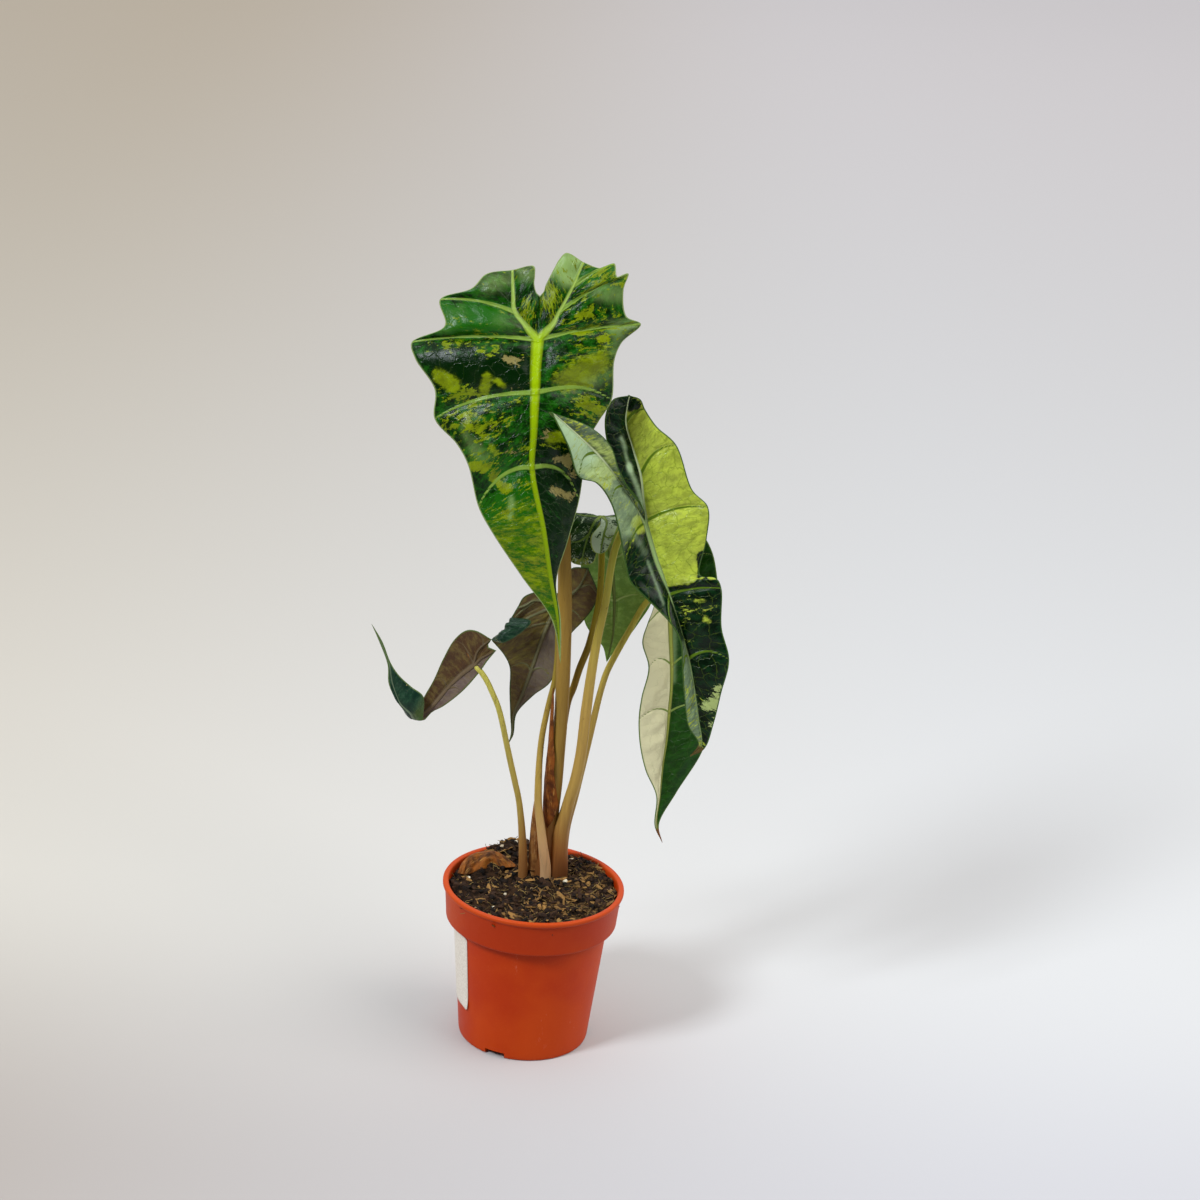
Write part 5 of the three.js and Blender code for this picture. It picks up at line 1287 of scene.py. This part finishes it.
leaf(
    1, BLADE_1, rib_width=2.1, vein_width=0.9,
    upper=dict(
        dark=(1, 30, 0), middle=(22, 88, 2), light=(124, 142, 8), cream=(132, 122, 70),
        rib=(150, 182, 2), vein=(122, 152, 58), margin=(132, 152, 90), costa=(150, 178, 78),
        pale=(132, 162, 90), cream_level=0.78, net=0.1, marble=1.7, streak=0.4),
    under=dict(
        dark=(84, 96, 60), middle=(106, 122, 74), light=(150, 160, 84), cream=(176, 168, 128),
        rib=(150, 140, 92), vein=(120, 120, 80), margin=(140, 150, 100),
        light_level=0.62, cream_level=0.8, roughness=0.45, gloss=0.25, marble=1.3, streak=0.4),
    sectors=[
        ("light", both, 10.5, 18, -0.06),
        ("fresh", left, -1, 3.8, 0.7),
        ("lime", left, -1, 3.6, 0.4),
        ("light", right, 0, 4.3, -0.35),
        ("fresh", right, -1, 5, -0.3),
        ("light", right, 11, 17, 0.1),
    ],
    spots=[
        ("pale", left, (-28.5, 256.5, -22, 258.5), 3.5, 0.4),
        ("fresh", left, (-39.5, 245.5, -26, 247), 4.5, 0.6),
        ("pale", left, (-41, 243, -36, 248), 4, 0.2),
        ("pale", left, (-24, 246.5, -19.5, 245.5), 3.5, 0.25),
        ("light", left, (-39, 240.5, -26.5, 239.5), 2.6, 0.08),
        ("light", left, (-44, 236, -25, 237), 2.2, 0.1),
        ("light", left, (-43, 231.5, -16, 233.5), 5.5, -0.22),
        ("fresh", left, (-40, 232, -16, 233), 5, -0.6),
        ("lime", left, (-40.5, 229, -36.5, 227.5), 2.6, 0.9),
        ("light", left, (-39.5, 228.5, -35.5, 228), 4, 0.12),
        ("lime", left, (-26, 231, -26.5, 226.5), 1.7, 0.8),
        ("light", left, (-35, 226.5, -25.5, 227.5), 3, 0.1),
        ("lime", left, (-23, 230, -20.5, 228.5), 1.2, 0.6),
        ("cream", left, (-21, 236.5, -17, 235), 1.3, 0.31),
        ("cream", left, (-20.5, 237, -15.5, 236.5), 1.0, 0.25),
        ("cream", left, (-18.5, 209.5, -14, 210), 1.2, 0.25),
        ("cream", left, (-23, 217, -14.5, 215.5), 6, 0.08),
        # Painted sheen: bluish silver patches low on the left half.
        ("pale", left, (-28, 209.5, -25.5, 207.5), 3.2, 0.45),
        ("pale", left, (-32, 215.5, -31, 213), 2, 0.35),
        ("lime", left, (-23, 211, -22, 209.5), 1.5, 0.5),
        ("fresh", left, (-24, 206, -21, 203), 4, 0.3),
        ("light", left, (-27, 203.5, -24.5, 203.5), 2.2, 0.3),
        ("light", left, (-25.5, 198.5, -23.5, 197), 3.0, -0.5),
        ("light", left, (-21.5, 200.5, -18, 198.5), 1.8, 0.35),
        ("pale", left, (-15.5, 195.5, -15.5, 190), 1.2, 0.6),
        ("light", left_inner, (-16, 253, -14.5, 245.5), 4, 0.1),
        ("pale", left_inner, (-17.5, 260.5, -14.5, 261), 3.2, 0.45),
        ("light", left_inner, (-18, 256.5, -14.5, 255), 2.6, -0.1),
        ("pale", right_inner, (-7, 264.5, -1.5, 263.5), 4.5, 1.0),
        ("pale", right_inner, (-2, 261.5, -3.5, 259.5), 2.5, 0.6),
        ("light", right_inner, (-8, 257, -9, 253.5), 3, 0.12),
        ("pale", right, (6, 257, 12.5, 257), 3.4, 0.45),
        ("fresh", right, (1.5, 260.5, 8.5, 262.5), 3, 0.3),
        ("pale", right, (11, 247, 17, 248), 2.6, 0.5),
        ("pale", right, (13, 244, 12, 240), 2.4, 0.4),
        ("light", right, (-1, 248, 10, 252.5), 4, 0.04),
        ("lime", right, (-3, 231, 5, 236), 4.5, 0.5),
        ("lime", right, (1.5, 231, 8.5, 237), 4.5, 0.4),
        ("pale", right, (5.5, 230, 11, 232.5), 3.4, 0.4),
        ("light", right, (-8.5, 240.5, -7.5, 231), 1.6, -0.3),
        ("light", right, (3, 224, 10, 221.5), 4.2, 0.14),
        ("light", right, (-7.5, 226.5, -7, 218), 2.2, -0.3),
        ("lime", right, (-5, 214, -2, 214.5), 2.0, 0.8),
        ("cream", right, (-2.5, 208, 0, 207.5), 1.8, 0.43),
        ("cream", right, (0.5, 205.5, 2.5, 202), 1.5, 0.31),
        ("cream", right, (-3, 198.5, 2.5, 196), 1.6, 0.37),
        ("cream", right, (-6.5, 216, -7, 213.5), 1.6, 0.19),
    ])

# Leaf blade 2. The front right leaf, folded along its midrib: its left lobe reaches across blade 1
# with a painted silvery sheen, its right half is thin and yellow green with dark veins and is painted
# brighter for light shining through it, the rest dark green.
BLADE_2 = {
    "rib_depth": 1,
    "tip": [47, -9, 109],
    "body": [
        [[50.3, -11, 114], [49.2, -11.3, 114.8], [51.4, -11.3, 113.3], BAY],
        [[48.5, -10, 123], [45.5, -11.5, 120.5], [53.5, -11, 122], BAY],
        [[45.5, -8.5, 135.5], [43.5, -11.5, 130], [55, -10, 132.5], BAY],
        [[43.5, -7.5, 142], [42, -11, 139.5], [56.5, -9, 143.5], VEIN],
        [[40.5, -6, 150], [40.5, -10.5, 149], [53.2, -7, 153.5], BAY],
        [[35.5, -3, 161.5], [37, -10, 154.5], [52, -5, 166], VEIN],
        [[34.3, -2.3, 164.2], [32.8, -9.1, 158.2], [50.2, -4.4, 168.9], BAY],
        [[33, -1.5, 167], [28, -8, 162], [45, -2.4, 168.8], BAY],
        [[30.5, 0, 172], [23, -7, 166.5], [46, 0, 180], BAY],
        [[26, 3, 183], [21, -6, 172.5], [45.6, 2, 190.2], VEIN],
    ],
    "left": {
        "rows": [
            [[22.5, 0, 190], [18, -8, 184], [23, -2, 192.3], BAY],
            [[18.5, -3, 196.5], [15, -10, 193], [20, -4.5, 196.6], VEIN],
            [[14, -7, 203], [10, -14, 200.5], [16.5, -7, 203.6], BAY],
            [[9, -11, 209.5], [4.5, -17, 203], [13.5, -8.5, 211], VEIN],
            [[2, -16, 217], [0.5, -20, 213.5], [7, -13, 218], BAY],
        ],
        "tip": [-5.5, -21, 224.5],
    },
    "right": {
        "rows": [
            [[25, 4.5, 189.5], [40.2, 3.5, 195], [23.4, 2.2, 190.6], BAY],
            [[23.5, 6, 197.5], [33.9, 5.2, 208.8], [18.2, 1.4, 196.8], VEIN],
            [[20.5, 7, 205.5], [27.2, 6.6, 214], [12.8, 0.8, 207.3], BAY],
            [[17.5, 8, 213.5], [23.2, 8, 218.8], [11, 3, 216.5], VEIN],
            [[17.5, 8.8, 218.5], [21.5, 9, 221.5], [13, 6.5, 221.5], BAY],
        ],
        "tip": [18, 9, 222.5],
    },
    "notch": [25.6, 0.8, 187.5],
}
leaf(
    2, BLADE_2, rib_width=1.25, vein_width=0.62,
    upper=dict(
        # The light colour is painted brighter than the leaf is, to stand in for light shining through the
        # thin right half.
        dark=(3, 20, 5), middle=(8, 44, 16), light=(178, 194, 66), cream=(164, 180, 110),
        rib=(150, 176, 110), vein=(84, 112, 16), margin=(60, 90, 34), costa=(200, 216, 164),
        pale=(168, 196, 152), dry=(96, 80, 36), light_level=0.62, cream_level=0.82, net=0.55,
        net_colour=(112, 136, 24), roughness=0.18),
    under=dict(
        dark=(84, 96, 70), middle=(108, 122, 86), light=(156, 168, 90), cream=(190, 190, 140),
        rib=(150, 150, 104), vein=(96, 110, 60), margin=(90, 100, 60),
        light_level=0.5, cream_level=0.82, roughness=0.45, gloss=0.25),
    sectors=[
        # Lime wash over the right half: partly the leaf's yellow green, partly painted light shining through
        # it.
        ("lime", right, 7, 18, 1.0),
        # Painted silvery sheen over the left lobe.
        ("pale", left, 10.4, 18, 0.5),
        ("lime", left, 10.4, 18, 0.24),
        ("pale", left_inner, 10, 18, 0.35),
        ("light", right_inner, 9, 18, -0.3),
        # Painted bluish sheen along the lower left edge.
        ("pale", left, 0, 5, 0.42),
        ("light", left, 5, 10, -0.3),
        ("light", right, -1, 7, -0.1),
    ],
    spots=[
        ("lime", right, (14.5, 221.5, 19.5, 219.5), 3.0, -1.2),
        ("lime", right, (25, 207.5, 28, 201), 2.2, -0.35),
        ("lime", right, (45, 175, 46, 165), 1.7, -1.4),
        ("light", right, (43, 158, 49.5, 160.5), 3.5, 0.04),
        ("lime", right, (47.5, 156, 49, 155.5), 1.2, 0.5),
        ("lime", right, (44.5, 161.5, 47, 162), 1.0, 0.5),
        ("cream", right, (54, 134, 53, 130.5), 2.6, 0.4),
        ("cream", right, (51, 127.5, 54, 127.5), 2.8, 0.35),
        ("cream", right, (53.5, 122.5, 53, 121), 2, 0.35),
        # Narrow streaks on the right lobe's inner strip: partly pale lilac colour, partly painted highlight.
        ("pale", right_inner, (16.5, 210, 20, 200), 0.8, 0.5),
        ("pale", right_inner, (19.5, 201, 25.5, 188), 0.9, 0.6),
        # Painted highlight near the tip of the left lobe.
        ("pale", left, (-1, 219, 5.5, 210), 3.6, 0.8),
        ("lime", left, (6, 207.5, 13, 201.5), 2.4, 0.9),
        ("lime", left, (23, 185, 25, 181), 1.3, 0.8),
        ("lime", left, (26, 183.5, 28.5, 183), 2.0, 0.9),
        ("lime", left_inner, (8, 213, 15, 206.5), 3.4, 0.5),
        # Two narrow painted highlight streaks along the fold of the left half.
        ("pale", left, (21.5, 182.5, 27, 174.5), 1.3, 0.3),
        ("pale", left, (28, 172, 34, 160), 0.6, 0.4),
        ("dry", both, (49, 111), 3.5, 1),
    ])

# Leaf blade 3. The narrow leaf that hangs straight down at the lower right, half of it cream with
# thin green veins and half dark green. Its tip has dried brown.
BLADE_3 = {
    "rib_depth": 0.9,
    "tip": [41.2, 2, 72.4],
    "body": [
        [[38.9, 3, 78], [38.2, 3, 77.8], [39.5, 3, 78.4], BAY],
        [[39, 4, 88], [37.7, 3.5, 88.5], [44, 3, 90], BAY],
        [[39, 5, 98.5], [33.5, 3, 97.5], [51, 3, 105], BAY],
        [[39.5, 6, 108], [31, 3, 106], [52.5, 3, 112], BAY],
        [[39.5, 7, 117], [29.8, 3.5, 115], [53.5, 4, 120.5], VEIN],
        [[39.5, 8, 125], [30.1, 4.5, 122.5], [54, 5, 130], BAY],
        [[39, 9, 132.5], [31.5, 6, 132.5], [53.5, 7, 140], VEIN],
        [[37.8, 10.3, 142], [28.8, 7.5, 140.5], [52.5, 8.5, 148], BAY],
        [[36.8, 11.5, 150.5], [30, 9, 146.5], [52.3, 9.3, 155.5], VEIN],
    ],
    "left": {
        "rows": [
            [[35, 14, 157], [31.6, 11, 152], [35.3, 15, 161], BAY],
            [[33.8, 17, 163], [31.8, 14.5, 158.5], [34.8, 17.5, 166], VEIN],
            [[33, 20, 167.5], [31.8, 17.5, 164.5], [33.8, 20.5, 169.5], BAY],
        ],
        "tip": [32.6, 22, 171.5],
    },
    "right": {
        "rows": [
            [[38.5, 12.5, 158.5], [51, 10.3, 163.5], [36.2, 13.5, 161], BAY],
            [[40.3, 13.2, 166], [49, 11.3, 171], [37.5, 14, 168], VEIN],
            [[41.8, 13.7, 172], [46, 12.5, 176], [39.8, 14, 174], BAY],
        ],
        "tip": [42.5, 14, 178.5],
    },
    "notch": [35.8, 13.2, 157.5],
}
leaf(
    3, BLADE_3, rib_width=1.1, vein_width=0.4,
    upper=dict(
        dark=(16, 54, 3), middle=(28, 74, 10), light=(96, 120, 34), cream=(226, 220, 176),
        rib=(158, 164, 74), vein=(122, 142, 66), margin=(84, 112, 44), pale=(112, 138, 90),
        light_level=0.8, cream_level=0.6, net=0.16, net_colour=(130, 150, 80), roughness=0.3),
    under=dict(
        dark=(86, 100, 72), middle=(104, 118, 84), light=(140, 156, 110), cream=(206, 202, 160),
        rib=(160, 160, 116), vein=(120, 130, 90), margin=(90, 104, 64),
        light_level=0.8, cream_level=0.6, roughness=0.45, gloss=0.25),
    sectors=[
        ("cream", left, 0.9, 14, 0.9),
        ("light", right, -1, 9, -0.3),
        ("cream", right, -1, 14, -0.5),
        ("dry", both, -2, 0.75, 1.2),
    ],
    spots=[
        ("pale", right, (38.5, 150, 40, 128), 1.2, 0.7),
        ("light", left, (33, 140, 33, 133), 1.3, 0.35),
    ])

# Leaf blade 4. The leaf behind the stems, its grey-green underside to the front, painted brighter to
# stand in for light shining through it. Its two back lobes fold over and show the upper face, one
# dark green and one mottled in silver and cream.
BLADE_4 = {
    "rib_depth": 0.5,
    "mirrored": True,
    "tip": [18, 26, 125],
    "body": [
        [[18.8, 25.5, 130], [16.3, 25.5, 130.5], [20.6, 25.3, 129.8], BAY],
        [[19.3, 25, 135], [13.3, 24.5, 134], [24, 24.5, 134.5], BAY],
        [[19.2, 24.5, 141], [10.3, 23, 138.5], [27.5, 23.5, 141], BAY],
        [[18.8, 24, 147.5], [8.5, 22, 145], [31, 22.5, 149], VEIN],
        [[17.8, 23.5, 155], [8, 21, 154], [31, 21.5, 157], BAY],
        [[16.7, 22.8, 161.5], [6.5, 20, 163], [30, 20.5, 165.5], VEIN],
        [[14.8, 20.5, 171.5], [5, 17, 173.5], [25.5, 18, 174.5], BAY],
        [[12.5, 15, 179.4], [3.3, 13, 180.5], [20, 14, 181], VEIN],
    ],
    "left": {
        "rows": [
            [[10.3, 12, 178.5], [2.6, 11, 177.5], [11.2, 11.2, 176.8], BAY],
            [[8.8, 10.2, 174.8], [2.4, 9.7, 172.5], [12, 9.5, 173], VEIN],
            [[7.7, 9.3, 170], [2.8, 9.2, 168], [11.9, 8.8, 169], BAY],
            [[7.4, 8.9, 166.8], [4.2, 8.9, 165.4], [11, 8.6, 166], BAY],
        ],
        "tip": [7.5, 8.8, 164.6],
    },
    "right": {
        "rows": [
            [[14.2, 11.2, 178.9], [18.3, 10.8, 179.2], [12, 9.9, 178], BAY],
            [[13.6, 8.1, 176], [17.2, 8.4, 176.2], [9.6, 7.3, 175.4], VEIN],
            [[13.2, 7.3, 172.8], [15.9, 7.6, 172.8], [9.8, 6.9, 172.3], BAY],
            [[13.1, 7.1, 171], [14.8, 7.3, 170.6], [11, 6.9, 170.3], BAY],
        ],
        "tip": [13, 7, 169.7],
    },
    "notch": [12.3, 12, 178.7],
}
leaf(
    4, BLADE_4, rib_width=0.9, vein_width=0.4,
    upper=dict(
        dark=(16, 46, 14), middle=(32, 70, 18), light=(138, 154, 50), cream=(176, 196, 164),
        rib=(140, 164, 50), vein=(104, 132, 52), margin=(140, 160, 64),
        light_level=0.72, cream_level=0.62, marble=2.6, streak=0.7),
    # The underside colours are painted brighter than the leaf is, to stand in for light shining through it
    # from behind.
    under=dict(
        dark=(112, 148, 62), middle=(136, 174, 82), light=(154, 184, 96), cream=(190, 196, 150),
        rib=(120, 138, 64), vein=(162, 186, 108), margin=(110, 156, 48),
        light_level=0.78, cream_level=0.9, roughness=0.4),
    sectors=[
        ("cream", ("right", "right inner"), 8.3, 14, 0.22),
        ("light", left, 0, 6, 0.15),
    ],
    spots=[("light", ("left", "left inner"), (7.5, 165), 2.5, 0.6)])

# Leaf blade 5. The leaf at the left of the stems, its olive and purple underside to the front, with
# a lilac band beside the midrib. A strip of its left edge is rolled over and shows dark green.
BLADE_5 = {
    "rib_depth": 0.7,
    "mirrored": True,
    "tip": [-12.5, 17, 96],
    "body": [
        [[-11.2, 17, 100], [-11.6, 17, 100.2], [-10.8, 17, 99.8], BAY],
        [[-11.1, 16.8, 107.5], [-12.2, 16.6, 107.3], [-10.2, 16.6, 107.8], BAY],
        [[-9.2, 16.6, 113.5], [-13, 16, 116], [-5.2, 16, 115], BAY],
        [[-6.5, 16.2, 123.5], [-13.5, 15.5, 124.5], [0, 15, 120.5], VEIN],
        [[-4, 15.8, 134.5], [-15.5, 14.5, 129], [2.8, 15, 129], BAY],
        [[-2, 15.5, 141.5], [-18.5, 12.8, 133.2], [5.5, 15, 138], VEIN],
        [[0, 15, 147.5], [-19.8, 12, 135.2], [9, 14.5, 143], VEIN],
    ],
    "left": {
        "rows": [
            [[-3.5, 14.6, 149], [-17.6, 12, 137], [-2, 15.1, 152], BAY],
            [[-7, 14.2, 149.2], [-15.4, 12.3, 139.9], [-5.5, 14.9, 152.2], VEIN],
            [[-10, 13.8, 147.5], [-13.9, 12.7, 143.2], [-10.4, 14.2, 150.2], BAY],
        ],
        "tip": [-12.3, 13.4, 146.6],
        "roll": {
            "from": 7,
            "rows": [
                [[-18.6, 10, 137.4], [-15.5, 8.8, 135.9]],
                [[-16.6, 9.8, 141.2], [-7.4, 9, 143.8]],
            ],
        },
    },
    "right": {
        "rows": [
            [[4, 15, 151.5], [12, 14.2, 148], [2.5, 15.5, 156], BAY],
            [[7, 14.5, 155], [13.3, 14, 153], [4.2, 15, 161], VEIN],
        ],
        "tip": [9.5, 14, 162],
    },
    "notch": [0.8, 15.2, 152],
}
leaf(
    5, BLADE_5, rib_width=1, vein_width=0.45,
    upper=dict(
        dark=(18, 44, 30), middle=(38, 70, 46), light=(110, 140, 70), cream=(206, 190, 140),
        rib=(120, 140, 96), vein=(84, 110, 70), margin=(60, 84, 50), light_level=0.8, cream_level=0.8),
    under=dict(
        dark=(88, 68, 44), middle=(112, 98, 50), light=(124, 114, 50), cream=(160, 150, 104),
        rib=(122, 118, 84), vein=(106, 106, 70), margin=(70, 84, 36), pale=(122, 112, 106),
        light_level=0.7, cream_level=0.9, roughness=0.34, marble=0.9),
    sectors=[
        ("lime", left, 4, 9, 0.35),
        ("pale", right, 1, 6.4, 0.5),
    ],
    spots=[("cream", ("left roll",), (-17, 133), 2.2, 0.6)])

# Leaf blade 6. The small leaf at the far left, brown purple below and green above. It folds up at
# its front, where the upper face shows, and runs out in a long pale thread.
BLADE_6 = {
    "rib_depth": 0.4,
    "mirrored": True,
    "tip": [-58.5, 5, 140],
    "body": [
        [[-55.2, 4.3, 134.5], [-55.6, 4.3, 134.3], [-54.8, 4.3, 134.7], BAY],
        [[-52, 3.5, 127.3], [-52.5, 3.4, 127], [-51.5, 3.5, 127.6], BAY],
        [[-50.5, 2.7, 121], [-51.8, 2.6, 121], [-48.8, 3, 124], BAY],
        [[-47.8, 2, 114.6], [-50, 2.3, 117.2], [-44.5, 3, 120.2], BAY],
        [[-44, 2.2, 111], [-46.8, 3, 112.2], [-40.5, 2.6, 117.5], BAY],
        [[-42.5, 4.5, 108.2], [-44.9, 5, 109], [-39.8, 4.8, 108.2], BAY],
        [[-40, 6.3, 109.6], [-42.4, 7, 111], [-37.5, 6.2, 110.4], BAY],
        [[-37, 6, 113.2], [-39.7, 6.8, 116.8], [-34.3, 5, 113], BAY],
        [[-33, 5, 119.5], [-37.5, 5.8, 122], [-28.5, 2.5, 119.5], VEIN],
        [[-29, 3.7, 125], [-35, 4.8, 129.5], [-25.5, 1.5, 123.7], BAY],
        [[-24.6, 2, 130], [-31.5, 3.8, 137.5], [-22.2, 0.6, 129], VEIN],
    ],
    "left": {
        "rows": [
            [[-23.8, 1.8, 134.5], [-28, 3, 141.2], [-20.5, 0.9, 137.9], BAY],
            [[-22, 1.4, 137.5], [-24.8, 2, 141.8], [-20.1, 0.8, 138.8], VEIN],
        ],
        "tip": [-19.6, 0.8, 139.8],
    },
    "right": {
        "rows": [
            [[-22.2, 1, 133], [-20.3, 0, 132.7], [-19.4, 0.4, 136.8], BAY],
        ],
        "tip": [-17.8, -0.2, 136.5],
    },
    "notch": [-20.3, 0.8, 137],
}
leaf(
    6, BLADE_6, rib_width=0.9, vein_width=0.35,
    upper=dict(
        dark=(18, 46, 34), middle=(36, 68, 48), light=(120, 140, 80), cream=(204, 180, 124),
        rib=(120, 140, 110), vein=(84, 110, 80), margin=(90, 110, 60), light_level=0.8, cream_level=0.75),
    under=dict(
        dark=(78, 54, 34), middle=(106, 88, 48), light=(152, 158, 84), cream=(140, 96, 44),
        rib=(112, 94, 70), vein=(98, 82, 58), margin=(84, 92, 44), pale=(128, 114, 114),
        light_level=0.9, cream_level=0.78, roughness=0.34),
    sectors=[
        ("pale", right, 5, 13, 0.45),
        ("cream", both, 6.2, 7.2, 0.25),
        ("lime", both, -1, 1.6, 0.9),
    ],
    spots=[("cream", left, (-26, 134), 3.5, 0.16)])
